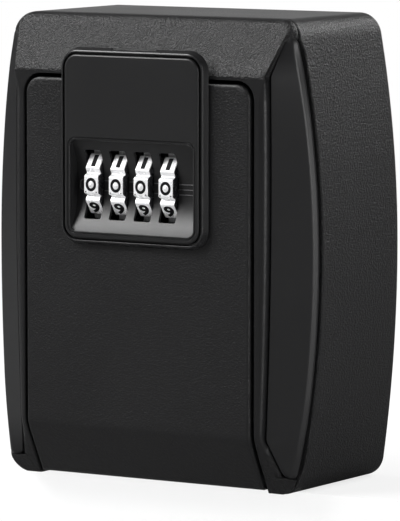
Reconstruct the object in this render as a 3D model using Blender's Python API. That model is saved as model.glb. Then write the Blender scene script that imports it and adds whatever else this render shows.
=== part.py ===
"""Wall-mounted combination key cabinet, built as separate pieces.

Origin: centre of the flat back face that goes against the wall.
X runs to the right, minus Y is the front with the door, Z is up.
Lengths are in metres. Heights are measured up from the base and depths
are measured back from the flat front plane of the surround.
"""

import math

import bmesh
import bpy
from mathutils import Matrix, Vector

# Overall body
HEIGHT = 0.145
BODY_DEPTH = 0.060
HALF_WIDTH = 0.0583
SIDE_ARC_RADIUS = 0.361
TOP_CORNER_RADIUS = 0.0075
BOTTOM_CORNER_RADIUS = 0.005
WALL = 0.0025
REAR_EDGE = 0.0008
SEAM_GAP = 0.0003
FIT_GAP = 0.0003

# Front surround, a shallow frustum in front of the barrel
SIDE_FACET_WIDTH = 0.0120
FRONT_HALF_WIDTH = HALF_WIDTH - SIDE_FACET_WIDTH
UPPER_FOLD_DROP = 0.0169
UPPER_FOLD_HEIGHT = HEIGHT - UPPER_FOLD_DROP
LOWER_FOLD_HEIGHT = 0.0171
FOLD_CORNER_RADIUS = 0.0008
TOP_SETBACK = 0.0102
BOTTOM_SETBACK = 0.0088
SIDE_SETBACK = 0.0111
UPPER_TIP_SETBACK = 0.0093
LOWER_TIP_SETBACK = 0.0077
SIDE_SEAM_STEP = 0.0004
TOP_SEAM_STEP = 0.0020
SHELL = 0.0024
TRIM_TIP_TURN_DEG = 25.0

# Door opening and the flange that runs back from it
SIDE_STRIP_WIDTH = 0.0046
OPENING_HALF_WIDTH = FRONT_HALF_WIDTH - SIDE_STRIP_WIDTH
TOP_STRIP_HEIGHT = 0.0015
OPENING_TOP_HEIGHT = UPPER_FOLD_HEIGHT - TOP_STRIP_HEIGHT
OPENING_CORNER_RADIUS = 0.0060
FLANGE_THICKNESS = 0.0022
FLANGE_START_DEPTH = 0.0015
FLANGE_END_DEPTH = 0.0145
FLANGE_FOOT_HEIGHT = 0.0004
FLANGE_FOOT_DEPTH = 0.0099

# Door
DOOR_SIDE_GAP = 0.0010
DOOR_HALF_WIDTH = OPENING_HALF_WIDTH - DOOR_SIDE_GAP
DOOR_TOP_GAP = 0.00115
DOOR_TOP_HEIGHT = OPENING_TOP_HEIGHT - DOOR_TOP_GAP
DOOR_CORNER_RADIUS = 0.0050
DOOR_PROUD = 0.0008
DOOR_THICKNESS = 0.0027
DOOR_LIP_HEIGHT = 0.0009
DOOR_LIP_DEPTH = 0.0077
DOOR_EDGE = 0.0007
HINGE_DEPTH = 0.0105
HINGE_HEIGHT = 0.0040
HINGE_PIN_RADIUS = 0.0016
KNUCKLE_RADIUS = 0.0032
KNUCKLE_SIDE_GAP = 0.0005
RUNNING_GAP = 0.00008
PIN_END_INSET = 0.0002
HINGE_RELIEF_DEPTH = 0.0152

# Dial housing and fascia on the door
DIAL_HALF_WIDTH = 0.0256
DIAL_OVERHANG = 0.00875
DIAL_TOP_HEIGHT = DOOR_TOP_HEIGHT + DIAL_OVERHANG
DIAL_HEIGHT = 0.0590
DIAL_BOTTOM_HEIGHT = DIAL_TOP_HEIGHT - DIAL_HEIGHT
DIAL_CORNER_RADIUS = 0.0055
DIAL_DRAFT = 0.0011
DIAL_PROUD = 0.0038
DIAL_RIM = 0.0013
DIAL_RIM_HEIGHT = 0.0004
DIAL_FLOOR = 0.0008
DIAL_EDGE = 0.0005
WINDOW_SIDE_MARGIN = 0.0032
WINDOW_HALF_WIDTH = DIAL_HALF_WIDTH - WINDOW_SIDE_MARGIN
WINDOW_BROW = 0.0275
WINDOW_TOP_HEIGHT = DIAL_TOP_HEIGHT - WINDOW_BROW
WINDOW_HEIGHT = 0.0282
WINDOW_BOTTOM_HEIGHT = WINDOW_TOP_HEIGHT - WINDOW_HEIGHT
SCOOP_SAG = 0.0044
SCOOP_WALL = 0.0012
TAB_RECESS_HALF_WIDTH = 0.0080

# Number wheels
WHEEL_COUNT = 4
WHEEL_FACES = 10
WHEEL_PITCH = 0.00906
WHEEL_SHIFT = -0.0021
WHEEL_FACE_RADIUS = 0.0123
WHEEL_ROOT_RADIUS = 0.0112
WHEEL_PAD_HALF_HEIGHT = 0.00272
WHEEL_HALF_WIDTH = 0.00245
WHEEL_AXIS_DEPTH = 0.0103
WHEEL_AXIS_RISE = 0.0003
WHEEL_AXIS_HEIGHT = (WINDOW_TOP_HEIGHT + WINDOW_BOTTOM_HEIGHT) / 2 + WHEEL_AXIS_RISE
WHEEL_BORE_RADIUS = 0.0053
SLOT_HALF_WIDTH = 0.00305
SLOT_HALF_HEIGHT = 0.0107
SHAFT_RADIUS = 0.0020
SLEEVE_RADIUS = 0.0050
CAM_RADIUS = 0.0074
CAM_THICKNESS = 0.0016
GATE_WIDTH = 0.0024
GATE_DEPTH = 0.0020
SPACER_RADIUS = 0.0040
SPACER_SIDE_GAP = 0.0003

# Lock case on the back of the door
CASE_SIDE_MARGIN = 0.0046
CASE_HALF_WIDTH = WINDOW_HALF_WIDTH + CASE_SIDE_MARGIN
CASE_TOP_DROP = 0.00245
CASE_TOP_HEIGHT = DOOR_TOP_HEIGHT - CASE_TOP_DROP
CASE_BOTTOM_DROP = 0.0040
CASE_BOTTOM_HEIGHT = WINDOW_BOTTOM_HEIGHT - CASE_BOTTOM_DROP
CASE_END_DEPTH = 0.0240
CASE_WALL = 0.0016
CASE_EAR_HEIGHT = 0.0060
CASE_EAR_SPREAD = 0.0200
CASE_EAR_HALF_WIDTH = 0.0040
HOUSING_SCREW_DROP = 0.0065
HOUSING_SCREW_HEIGHT = CASE_TOP_HEIGHT - HOUSING_SCREW_DROP
COVER_THICKNESS = 0.0014
COVER_BOSS_HALF = 0.0028
COVER_BOSS_DROP = 0.0100
COVER_SCREW_LENGTH = 0.0070
SCREW_RADIUS = 0.0013
SCREW_HEAD_RADIUS = 0.0023
SCREW_HEAD_HEIGHT = 0.0014
SCREW_SLOT_WIDTH = 0.0006
SCREW_SLOT_DEPTH = 0.0006
BLIND_FLOOR = 0.0008
HOUSING_BOSS_RADIUS = 0.0026

# Detent comb under the wheels
COMB_THICKNESS = 0.0005
COMB_CLEARANCE = 0.0006
COMB_FRONT_DEPTH = 0.0065
COMB_SPINE_DEPTH = 0.0165
COMB_END_DEPTH = 0.0205

# Bolt with its fence, and the thumb tab
BOLT_HALF_WIDTH = 0.0070
BOLT_FRONT_DEPTH = 0.0090
BOLT_BACK_DEPTH = 0.0120
BOLT_TOP_DROP = 0.00105
BOLT_TOP_HEIGHT = DOOR_TOP_HEIGHT - BOLT_TOP_DROP
FENCE_RISE = 0.0136
FENCE_BOTTOM_HEIGHT = WHEEL_AXIS_HEIGHT + FENCE_RISE
FENCE_HEIGHT = 0.0030
FENCE_TOP_HEIGHT = FENCE_BOTTOM_HEIGHT + FENCE_HEIGHT
FINGER_HALF_WIDTH = 0.0006
FINGER_HALF_DEPTH = 0.0009
FINGER_CLEARANCE = 0.0004
BOLT_GAP = 0.0004
TAB_HALF_WIDTH = 0.0030
TAB_ARM_BOTTOM_HEIGHT = CASE_TOP_HEIGHT + FIT_GAP
TAB_ARM_HEIGHT = 0.0010
TAB_ARM_TOP_HEIGHT = TAB_ARM_BOTTOM_HEIGHT + TAB_ARM_HEIGHT
TAB_FRONT_DEPTH = -0.0015
TAB_BACK_DEPTH = -0.0004
TAB_TOP_DROP = 0.0026
TAB_TOP_HEIGHT = DIAL_TOP_HEIGHT - TAB_TOP_DROP
TAB_PAD_HALF_WIDTH = 0.0070
TAB_PAD_HEIGHT = 0.0024
BOLT_TRAVEL = 0.0040
NOTCH_MARGIN = 0.0006

# Strike plate under the flange
STRIKE_HALF_WIDTH = 0.0150
STRIKE_THICKNESS = 0.0013
STRIKE_FRONT_DEPTH = 0.0060
STRIKE_END_DEPTH = 0.0140
STRIKE_SCREW_SPREAD = 0.0115
STRIKE_SCREW_LENGTH = 0.0030
STRIKE_HEAD_HEIGHT = 0.0009

# Screws that hold the surround to the rear housing
LUG_LOW_RISE = 0.0049
LUG_LOW_HEIGHT = LOWER_FOLD_HEIGHT + LUG_LOW_RISE
LUG_HIGH_DROP = 0.0101
LUG_HIGH_HEIGHT = UPPER_FOLD_HEIGHT - LUG_HIGH_DROP
LUG_HALF_HEIGHT = 0.0040
LUG_INNER_HALF_WIDTH = OPENING_HALF_WIDTH + FLANGE_THICKNESS + FIT_GAP
LUG_START_DEPTH = 0.0122
LUG_END_DEPTH = 0.0180
TAB_START_DEPTH = 0.0094
TAB_REACH = 0.0061
TAB_OUTER_HALF_WIDTH = LUG_INNER_HALF_WIDTH + TAB_REACH
LUG_SCREW_INSET = 0.0032
LUG_SCREW_SPREAD = LUG_INNER_HALF_WIDTH + LUG_SCREW_INSET

# Wall screw holes, key hooks and the code change lever
WALL_HOLE_RADIUS = 0.0027
WALL_HOLE_WIDTH_SHARE = 0.5146
WALL_HOLE_SPREAD_X = HALF_WIDTH * WALL_HOLE_WIDTH_SHARE
WALL_HOLE_HEIGHT_SHARE = 0.3103
WALL_HOLE_SPREAD_Z = HEIGHT * WALL_HOLE_HEIGHT_SHARE
HOOK_SPREAD = 0.0150
HOOK_HALF_WIDTH = 0.0030
HOOK_DROP = 0.0300
HOOK_TOP_HEIGHT = HEIGHT - HOOK_DROP
HOOK_PLATE_HEIGHT = 0.0140
HOOK_THICKNESS = 0.0016
HOOK_REACH = 0.0110
HOOK_TIP = 0.0055
HOOK_RISE = 0.0020
LEVER_DROP = 0.0095
LEVER_HEIGHT = CASE_TOP_HEIGHT - LEVER_DROP
LEVER_START = -0.0060
LEVER_KNOB_HALF_WIDTH = 0.0032
LEVER_KNOB_HALF_HEIGHT = 0.0040
LEVER_KNOB_DEPTH = 0.0030
LEVER_STEM_HALF_WIDTH = 0.0012
LEVER_STEM_HALF_HEIGHT = 0.0016
LEVER_STEM_INSIDE = 0.0030
LEVER_TRAVEL = 0.0060

CUT_MARGIN = 0.0020

SIDE_STEPS = 14
CORNER_STEPS = 4
EDGE_STEPS = 2
ARC_STEPS = 18
ROUND_STEPS = 32
SMALL_ROUND_STEPS = 16


def at_depth(depth):
    """World Y of a depth behind the front plane."""
    return depth - BODY_DEPTH


def at_height(height):
    """World Z of a height above the base."""
    return height - HEIGHT / 2


def clear_scene():
    for item in list(bpy.data.objects):
        bpy.data.objects.remove(item, do_unlink=True)


def make_material(name, colour, roughness, metallic):
    material = bpy.data.materials.new(name)
    material.use_nodes = True
    shader = material.node_tree.nodes["Principled BSDF"]
    shader.inputs["Base Color"].default_value = (*colour, 1.0)
    shader.inputs["Roughness"].default_value = roughness
    shader.inputs["Metallic"].default_value = metallic
    return material


def add_object(name, shape, material, origin=(0.0, 0.0, 0.0), smooth=False):
    """Turn a bmesh in world coordinates into an object with its origin set."""
    bmesh.ops.recalc_face_normals(shape, faces=shape.faces)
    shape.transform(Matrix.Translation(-Vector(origin)))
    mesh = bpy.data.meshes.new(name)
    for face in shape.faces:
        face.smooth = smooth
    shape.to_mesh(mesh)
    shape.free()
    if material is not None:
        mesh.materials.append(material)
    item = bpy.data.objects.new(name, mesh)
    item.location = origin
    bpy.context.scene.collection.objects.link(item)
    return item


def add_tool(name, shape):
    """A hidden body that only serves a boolean."""
    item = add_object(name, shape, None)
    item.hide_render = True
    item.display_type = "WIRE"
    return item


def combine(target, tool, operation):
    step = target.modifiers.new(tool.name, "BOOLEAN")
    step.operation = operation
    step.solver = "EXACT"
    step.object = tool


def cut(target, name, shape):
    combine(target, add_tool(name, shape), "DIFFERENCE")


def join(target, name, shape):
    combine(target, add_tool(name, shape), "UNION")


def soften(target, width, segments, angle_deg=40.0):
    step = target.modifiers.new("edge", "BEVEL")
    step.width = width
    step.segments = segments
    step.limit_method = "ANGLE"
    step.angle_limit = math.radians(angle_deg)


def add_box(shape, x_span, y_span, z_span):
    corners = []
    for x in x_span:
        for y in y_span:
            for z in z_span:
                corners.append(shape.verts.new((x, y, z)))
    for quad in ((0, 1, 3, 2), (4, 6, 7, 5), (0, 4, 5, 1), (2, 3, 7, 6), (0, 2, 6, 4), (1, 5, 7, 3)):
        shape.faces.new([corners[index] for index in quad])


def centred(half, middle=0.0):
    return (middle - half, middle + half)


def add_prism(shape, outline, axis, span):
    """Extrude a flat outline along X, Y or Z. The outline holds the other two coordinates in order."""
    def place(pair, along):
        values = list(pair)
        values.insert("XYZ".index(axis), along)
        return values
    loops = [[shape.verts.new(place(pair, along)) for pair in outline] for along in span]
    shape.faces.new(loops[0])
    shape.faces.new(loops[1])
    count = len(outline)
    for index in range(count):
        after = (index + 1) % count
        shape.faces.new((loops[0][index], loops[0][after], loops[1][after], loops[1][index]))


def add_rings(shape, rings, capped=True):
    """Join rings with the same number of points, and close both ends or the loop."""
    loops = [[shape.verts.new(point) for point in ring] for ring in rings]
    count = len(rings[0])
    pairs = list(zip(loops, loops[1:]))
    if capped:
        shape.faces.new(loops[0])
        shape.faces.new(loops[-1])
    else:
        pairs.append((loops[-1], loops[0]))
    for low, high in pairs:
        for index in range(count):
            after = (index + 1) % count
            shape.faces.new((low[index], low[after], high[after], high[index]))


def add_lathe(shape, profile, centre, axis, steps, closed=False):
    """Turn a profile of (distance along the axis, radius) about a line through centre."""
    along = "XYZ".index(axis)
    across = [index for index in range(3) if index != along]

    def ring(distance, radius):
        points = []
        for step in range(steps if radius > 0 else 1):
            turn = 2 * math.pi * (step + 0.5) / steps
            point = list(centre)
            point[along] += distance
            point[across[0]] += radius * math.cos(turn)
            point[across[1]] += radius * math.sin(turn)
            points.append(shape.verts.new(point))
        return points
    rings = [ring(distance, radius) for distance, radius in profile]
    pairs = list(zip(rings, rings[1:]))
    if closed:
        pairs.append((rings[-1], rings[0]))
    for low, high in pairs:
        for index in range(steps):
            after = (index + 1) % steps
            corners = [low[index % len(low)], low[after % len(low)]]
            corners += [high[after % len(high)], high[index % len(high)]]
            unique = [vert for place, vert in enumerate(corners) if vert not in corners[:place]]
            if len(unique) > 2:
                shape.faces.new(unique)


def add_rod(shape, radius, centre, axis, span, steps):
    add_lathe(shape, [(span[0], 0), (span[0], radius), (span[1], radius), (span[1], 0)], centre, axis, steps)


def bore_radius(radius, clearance, steps):
    """Corner radius of a faceted hole whose flats clear a rod by the clearance."""
    return (radius + clearance) / math.cos(math.pi / steps)


def arc(centre, radius, start, end, steps):
    return [
        (centre[0] + radius * math.cos(start + (end - start) * step / steps),
         centre[1] + radius * math.sin(start + (end - start) * step / steps))
        for step in range(steps + 1)
    ]


def between(first, last, steps):
    """Points after the first and up to the last."""
    return [
        (first[0] + (last[0] - first[0]) * step / steps, first[1] + (last[1] - first[1]) * step / steps)
        for step in range(1, steps + 1)
    ]


def mirrored(half):
    """Close a right half outline that starts and ends on the middle line."""
    return half + [(-x, z) for x, z in reversed(half[1:-1])]


def barrel_outline(inset):
    """Front view of the body, bulging sides and rounded corners, moved in by the inset."""
    radius = SIDE_ARC_RADIUS - inset
    side_x = HALF_WIDTH - SIDE_ARC_RADIUS
    low = BOTTOM_CORNER_RADIUS - inset
    high = TOP_CORNER_RADIUS - inset
    low_rise = HEIGHT / 2 - BOTTOM_CORNER_RADIUS
    high_rise = HEIGHT / 2 - TOP_CORNER_RADIUS
    low_turn = math.asin(low_rise / (SIDE_ARC_RADIUS - BOTTOM_CORNER_RADIUS))
    high_turn = math.asin(high_rise / (SIDE_ARC_RADIUS - TOP_CORNER_RADIUS))
    low_x = side_x + (SIDE_ARC_RADIUS - BOTTOM_CORNER_RADIUS) * math.cos(low_turn)
    high_x = side_x + (SIDE_ARC_RADIUS - TOP_CORNER_RADIUS) * math.cos(high_turn)
    half = [(0.0, inset - HEIGHT / 2)]
    half += between(half[-1], (low_x, inset - HEIGHT / 2), EDGE_STEPS)
    half += arc((low_x, -low_rise), low, -math.pi / 2, -low_turn, CORNER_STEPS)[1:]
    half += arc((side_x, 0.0), radius, -low_turn, high_turn, SIDE_STEPS)[1:]
    half += arc((high_x, high_rise), high, high_turn, math.pi / 2, CORNER_STEPS)[1:]
    half += between(half[-1], (0.0, HEIGHT / 2 - inset), EDGE_STEPS)
    return mirrored(half)


def front_outline(inset):
    """The flat front of the surround with the same point order as the barrel."""
    radius = FOLD_CORNER_RADIUS
    edge = FRONT_HALF_WIDTH - inset
    low = at_height(LOWER_FOLD_HEIGHT) + inset
    high = at_height(UPPER_FOLD_HEIGHT) - inset
    half = [(0.0, low)]
    half += between(half[-1], (edge - radius, low), EDGE_STEPS)
    half += arc((edge - radius, low + radius), radius, -math.pi / 2, 0.0, CORNER_STEPS)[1:]
    half += between(half[-1], (edge, high - radius), SIDE_STEPS)
    half += arc((edge - radius, high - radius), radius, 0.0, math.pi / 2, CORNER_STEPS)[1:]
    half += between(half[-1], (0.0, high), EDGE_STEPS)
    return mirrored(half)


def side_half_width(rise):
    """Half width of the bulging side at a height above or below the middle."""
    return HALF_WIDTH - SIDE_ARC_RADIUS + math.sqrt(SIDE_ARC_RADIUS ** 2 - rise ** 2)


def fold_depths(side_step, top_step):
    """Depth of the fold between frustum and barrel for each outline point."""
    half = [BOTTOM_SETBACK + side_step] * (EDGE_STEPS + 1)
    for step in range(1, CORNER_STEPS + 1):
        share = step / CORNER_STEPS
        half.append(BOTTOM_SETBACK + (LOWER_TIP_SETBACK - BOTTOM_SETBACK) * share + side_step)
    for step in range(1, SIDE_STEPS + 1):
        rise = 2 * step / SIDE_STEPS - 1
        tip = UPPER_TIP_SETBACK if rise > 0 else LOWER_TIP_SETBACK
        half.append(SIDE_SETBACK + (tip - SIDE_SETBACK) * rise * rise + side_step)
    for step in range(1, CORNER_STEPS + 1):
        share = step / CORNER_STEPS
        extra = side_step + (top_step - side_step) * share
        half.append(UPPER_TIP_SETBACK + (TOP_SETBACK - UPPER_TIP_SETBACK) * share + extra)
    half += [TOP_SETBACK + top_step] * EDGE_STEPS
    return half + list(reversed(half[1:-1]))


def ring_at(outline, depths):
    if not isinstance(depths, list):
        depths = [depths] * len(outline)
    return [(x, at_depth(depth), z) for (x, z), depth in zip(outline, depths)]


def trim_outline(gap, spread):
    """Front view of one side trim, from the fold to well outside the body."""
    radius = TOP_CORNER_RADIUS
    turn = math.radians(TRIM_TIP_TURN_DEG)
    high_rise = HEIGHT / 2 - TOP_CORNER_RADIUS
    low_rise = HEIGHT / 2 - BOTTOM_CORNER_RADIUS
    side_x = HALF_WIDTH - SIDE_ARC_RADIUS
    high_x = side_x + math.sqrt((SIDE_ARC_RADIUS - radius) ** 2 - high_rise ** 2)
    low_x = side_x + math.sqrt((SIDE_ARC_RADIUS - BOTTOM_CORNER_RADIUS) ** 2 - low_rise ** 2)
    high_tip = (high_x + radius * math.cos(turn), high_rise + radius * math.sin(turn))
    low_tip = (low_x + BOTTOM_CORNER_RADIUS * math.cos(turn), -low_rise - BOTTOM_CORNER_RADIUS * math.sin(turn))
    inner = FRONT_HALF_WIDTH + gap
    return [
        (inner, at_height(LOWER_FOLD_HEIGHT) + gap),
        (inner, at_height(UPPER_FOLD_HEIGHT) - gap),
        (high_tip[0] + gap, high_tip[1] - gap),
        (high_tip[0] + spread, high_tip[1] - gap),
        (low_tip[0] + spread, low_tip[1] + gap),
        (low_tip[0] + gap, low_tip[1] + gap),
    ]


def add_surround_shell(shape):
    add_rings(shape, [
        ring_at(front_outline(0.0), 0.0),
        ring_at(barrel_outline(0.0), fold_depths(0.0, 0.0)),
        ring_at(barrel_outline(0.0), fold_depths(SIDE_SEAM_STEP, TOP_SEAM_STEP)),
        ring_at(barrel_outline(WALL), fold_depths(SIDE_SEAM_STEP, TOP_SEAM_STEP)),
        ring_at(front_outline(SHELL / 2), SHELL),
    ])


def opening_outline(extra, bottom):
    """Door opening or door edge, rounded at the top only."""
    half_width = OPENING_HALF_WIDTH + extra
    top = at_height(OPENING_TOP_HEIGHT) + extra
    radius = OPENING_CORNER_RADIUS + extra
    right = [(half_width, bottom)] + arc((half_width - radius, top - radius), radius, 0.0, math.pi / 2, CORNER_STEPS)
    return right + [(-x, z) for x, z in reversed(right)]


def screw(name, material, centre, axis, outward, length, radius=SCREW_RADIUS, head=SCREW_HEAD_RADIUS,
          head_height=SCREW_HEAD_HEIGHT, origin=(0.0, 0.0, 0.0)):
    """A slotted screw whose head starts at centre and stands outward along the axis."""
    along = "XYZ".index(axis)
    shape = bmesh.new()
    profile = [(outward * head_height, 0), (outward * head_height, head), (0.0, head)]
    profile += [(0.0, radius), (-outward * length, radius), (-outward * length, 0)]
    add_lathe(shape, profile, centre, axis, SMALL_ROUND_STEPS)
    item = add_object(name, shape, material, origin)
    slot = bmesh.new()
    spans = [centred(SCREW_SLOT_WIDTH / 2, value) for value in centre]
    wide = 0 if along != 0 else 1
    spans[wide] = centred(head + CUT_MARGIN, centre[wide])
    near = centre[along] + outward * (head_height - SCREW_SLOT_DEPTH)
    far = centre[along] + outward * (head_height + CUT_MARGIN)
    spans[along] = (min(near, far), max(near, far))
    add_box(slot, *spans)
    cut(item, name + "_slot_tool", slot)
    return item


def build_rear_housing(material):
    shape = bmesh.new()
    seam = [depth + SEAM_GAP for depth in fold_depths(SIDE_SEAM_STEP, TOP_SEAM_STEP)]
    add_rings(shape, [
        ring_at(barrel_outline(REAR_EDGE), BODY_DEPTH),
        ring_at(barrel_outline(0.0), BODY_DEPTH - REAR_EDGE),
        ring_at(barrel_outline(0.0), seam),
        ring_at(barrel_outline(WALL), seam),
        ring_at(barrel_outline(WALL), BODY_DEPTH - WALL),
    ])
    housing = add_object("rear_housing", shape, material)

    lugs = bmesh.new()
    for side in (-1, 1):
        for height in (LUG_LOW_HEIGHT, LUG_HIGH_HEIGHT):
            span = sorted((side * LUG_INNER_HALF_WIDTH, side * (side_half_width(at_height(height)) - WALL / 2)))
            depths = (at_depth(LUG_START_DEPTH), at_depth(LUG_END_DEPTH))
            add_box(lugs, span, depths, centred(LUG_HALF_HEIGHT, at_height(height)))
    join(housing, "lug_tool", lugs)

    holes = bmesh.new()
    for side in (-1, 1):
        for height in (LUG_LOW_HEIGHT, LUG_HIGH_HEIGHT):
            centre = (side * LUG_SCREW_SPREAD, 0.0, at_height(height))
            span = (at_depth(LUG_START_DEPTH) - CUT_MARGIN, at_depth(LUG_END_DEPTH) + CUT_MARGIN)
            add_rod(holes, SCREW_RADIUS + FIT_GAP, centre, "Y", span, SMALL_ROUND_STEPS)
        for rise in (-WALL_HOLE_SPREAD_Z, WALL_HOLE_SPREAD_Z):
            centre = (side * WALL_HOLE_SPREAD_X, 0.0, rise)
            add_rod(holes, WALL_HOLE_RADIUS, centre, "Y", (-WALL - CUT_MARGIN, CUT_MARGIN), ROUND_STEPS)
    relief = (at_depth(0.0), at_depth(HINGE_RELIEF_DEPTH))
    low = (at_height(-CUT_MARGIN), at_height(WALL + CUT_MARGIN))
    half = OPENING_HALF_WIDTH + FLANGE_THICKNESS + FIT_GAP
    add_box(holes, centred(half), relief, low)
    cut(housing, "housing_hole_tool", holes)
    return housing


def build_surround(material):
    shape = bmesh.new()
    add_surround_shell(shape)
    surround = add_object("front_frame", shape, material)

    flange = bmesh.new()
    top = at_height(OPENING_TOP_HEIGHT) + FLANGE_THICKNESS
    side_view = [
        (at_depth(FLANGE_START_DEPTH), top),
        (at_depth(FLANGE_END_DEPTH), top),
        (at_depth(FLANGE_END_DEPTH), at_height(FLANGE_FOOT_HEIGHT)),
        (at_depth(FLANGE_FOOT_DEPTH), at_height(FLANGE_FOOT_HEIGHT)),
        (at_depth(FLANGE_START_DEPTH), at_height(LOWER_FOLD_HEIGHT)),
    ]
    add_prism(flange, side_view, "X", centred(OPENING_HALF_WIDTH + FLANGE_THICKNESS))
    join(surround, "flange_tool", flange)

    opening = bmesh.new()
    through = (at_depth(-CUT_MARGIN), at_depth(FLANGE_END_DEPTH + CUT_MARGIN))
    add_prism(opening, opening_outline(0.0, at_height(-CUT_MARGIN)), "Y", through)
    cut(surround, "opening_tool", opening)

    sides = bmesh.new()
    span = (at_depth(-CUT_MARGIN), at_depth(SIDE_SETBACK + CUT_MARGIN))
    for side in (-1, 1):
        outline = [(side * x, z) for x, z in trim_outline(0.0, HALF_WIDTH)]
        add_prism(sides, outline, "Y", span)
    cut(surround, "side_tool", sides)

    tabs = bmesh.new()
    holes = bmesh.new()
    for side in (-1, 1):
        for height in (LUG_LOW_HEIGHT, LUG_HIGH_HEIGHT):
            span = sorted((side * (OPENING_HALF_WIDTH + FLANGE_THICKNESS / 2), side * TAB_OUTER_HALF_WIDTH))
            depths = (at_depth(TAB_START_DEPTH), at_depth(LUG_START_DEPTH - SEAM_GAP))
            add_box(tabs, span, depths, centred(LUG_HALF_HEIGHT, at_height(height)))
            centre = (side * LUG_SCREW_SPREAD, 0.0, at_height(height))
            span = (at_depth(TAB_START_DEPTH - CUT_MARGIN), at_depth(LUG_START_DEPTH + CUT_MARGIN))
            add_rod(holes, bore_radius(SCREW_RADIUS, RUNNING_GAP, SMALL_ROUND_STEPS), centre, "Y", span,
                    SMALL_ROUND_STEPS)
    join(surround, "frame_tab_tool", tabs)

    centre = (0.0, at_depth(HINGE_DEPTH), at_height(HINGE_HEIGHT))
    pin_hole = bore_radius(HINGE_PIN_RADIUS, RUNNING_GAP, SMALL_ROUND_STEPS)
    reach = OPENING_HALF_WIDTH + FLANGE_THICKNESS + CUT_MARGIN
    add_rod(holes, pin_hole, centre, "X", centred(reach), SMALL_ROUND_STEPS)
    add_strike_slot(holes, at_height(OPENING_TOP_HEIGHT) - CUT_MARGIN, top + BOLT_GAP)
    for side in (-1, 1):
        centre = (side * STRIKE_SCREW_SPREAD, at_depth((STRIKE_FRONT_DEPTH + STRIKE_END_DEPTH) / 2), top)
        span = (-FLANGE_THICKNESS - CUT_MARGIN, CUT_MARGIN)
        add_rod(holes, bore_radius(SCREW_RADIUS, RUNNING_GAP, SMALL_ROUND_STEPS), centre, "Z", span,
                SMALL_ROUND_STEPS)
    cut(surround, "frame_hole_tool", holes)
    return surround


def add_strike_slot(shape, low, high):
    """T-shaped way for the bolt and for the arm of its thumb tab."""
    arm = TAB_HALF_WIDTH + BOLT_GAP
    bolt = BOLT_HALF_WIDTH + BOLT_GAP
    front = at_depth(-CUT_MARGIN)
    shoulder = at_depth(BOLT_FRONT_DEPTH - BOLT_GAP)
    back = at_depth(BOLT_BACK_DEPTH + BOLT_GAP)
    outline = [(arm, front), (arm, shoulder), (bolt, shoulder), (bolt, back)]
    outline += [(-x, y) for x, y in reversed(outline)]
    add_prism(shape, outline, "Z", (low, high))


def build_side_trims(material):
    for side, name in ((-1, "side_trim_left"), (1, "side_trim_right")):
        shape = bmesh.new()
        add_surround_shell(shape)
        trim = add_object(name, shape, material, smooth=False)
        tool = bmesh.new()
        outline = [(side * x, z) for x, z in trim_outline(SEAM_GAP, HALF_WIDTH)]
        add_prism(tool, outline, "Y", (at_depth(-CUT_MARGIN), at_depth(SIDE_SETBACK + CUT_MARGIN)))
        combine(trim, add_tool(name + "_tool", tool), "INTERSECT")


def build_strike(steel, screw_steel):
    shape = bmesh.new()
    top = at_height(OPENING_TOP_HEIGHT) - FIT_GAP
    low = top - STRIKE_THICKNESS
    depths = (at_depth(STRIKE_FRONT_DEPTH), at_depth(STRIKE_END_DEPTH))
    add_box(shape, centred(STRIKE_HALF_WIDTH), depths, (low, top))
    plate = add_object("strike_plate", shape, steel)
    holes = bmesh.new()
    add_strike_slot(holes, low - CUT_MARGIN, top + CUT_MARGIN)
    middle = at_depth((STRIKE_FRONT_DEPTH + STRIKE_END_DEPTH) / 2)
    for side in (-1, 1):
        centre = (side * STRIKE_SCREW_SPREAD, middle, low)
        radius = SCREW_RADIUS + FIT_GAP
        add_rod(holes, radius, centre, "Z", (-CUT_MARGIN, STRIKE_THICKNESS + CUT_MARGIN), SMALL_ROUND_STEPS)
    cut(plate, "strike_tool", holes)
    for index, side in enumerate((-1, 1)):
        centre = (side * STRIKE_SCREW_SPREAD, middle, low - FIT_GAP / 2)
        screw("strike_screw_%d" % (index + 1), screw_steel, centre, "Z", -1, STRIKE_SCREW_LENGTH,
              head_height=STRIKE_HEAD_HEIGHT)


def hinge_origin():
    return (0.0, at_depth(HINGE_DEPTH), at_height(HINGE_HEIGHT))


def build_hinge_pin(material):
    shape = bmesh.new()
    reach = OPENING_HALF_WIDTH + FLANGE_THICKNESS - PIN_END_INSET
    add_rod(shape, HINGE_PIN_RADIUS, hinge_origin(), "X", centred(reach), SMALL_ROUND_STEPS)
    add_object("hinge_pin", shape, material, hinge_origin(), smooth=True)


def build_frame_screws(material):
    index = 1
    for height in (LUG_LOW_HEIGHT, LUG_HIGH_HEIGHT):
        for side in (-1, 1):
            centre = (side * LUG_SCREW_SPREAD, at_depth(LUG_END_DEPTH + FIT_GAP), at_height(height))
            length = LUG_END_DEPTH + FIT_GAP - TAB_START_DEPTH
            screw("frame_screw_%d" % index, material, centre, "Y", 1, length)
            index += 1


def build_hooks(material):
    top = at_height(HOOK_TOP_HEIGHT)
    back = -WALL - FIT_GAP
    front = back - HOOK_THICKNESS
    arm = top - HOOK_PLATE_HEIGHT
    tip = front - HOOK_REACH
    outline = [
        (back, arm), (back, top), (front, top), (front, arm + HOOK_THICKNESS),
        (tip + HOOK_THICKNESS, arm + HOOK_THICKNESS + HOOK_RISE),
        (tip + HOOK_THICKNESS, arm + HOOK_TIP + HOOK_RISE), (tip, arm + HOOK_TIP + HOOK_RISE), (tip, arm + HOOK_RISE),
        (front, arm),
    ]
    for index, side in enumerate((-1, 1)):
        shape = bmesh.new()
        add_prism(shape, outline, "X", centred(HOOK_HALF_WIDTH, side * HOOK_SPREAD))
        add_object("key_hook_%d" % (index + 1), shape, material)


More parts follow.
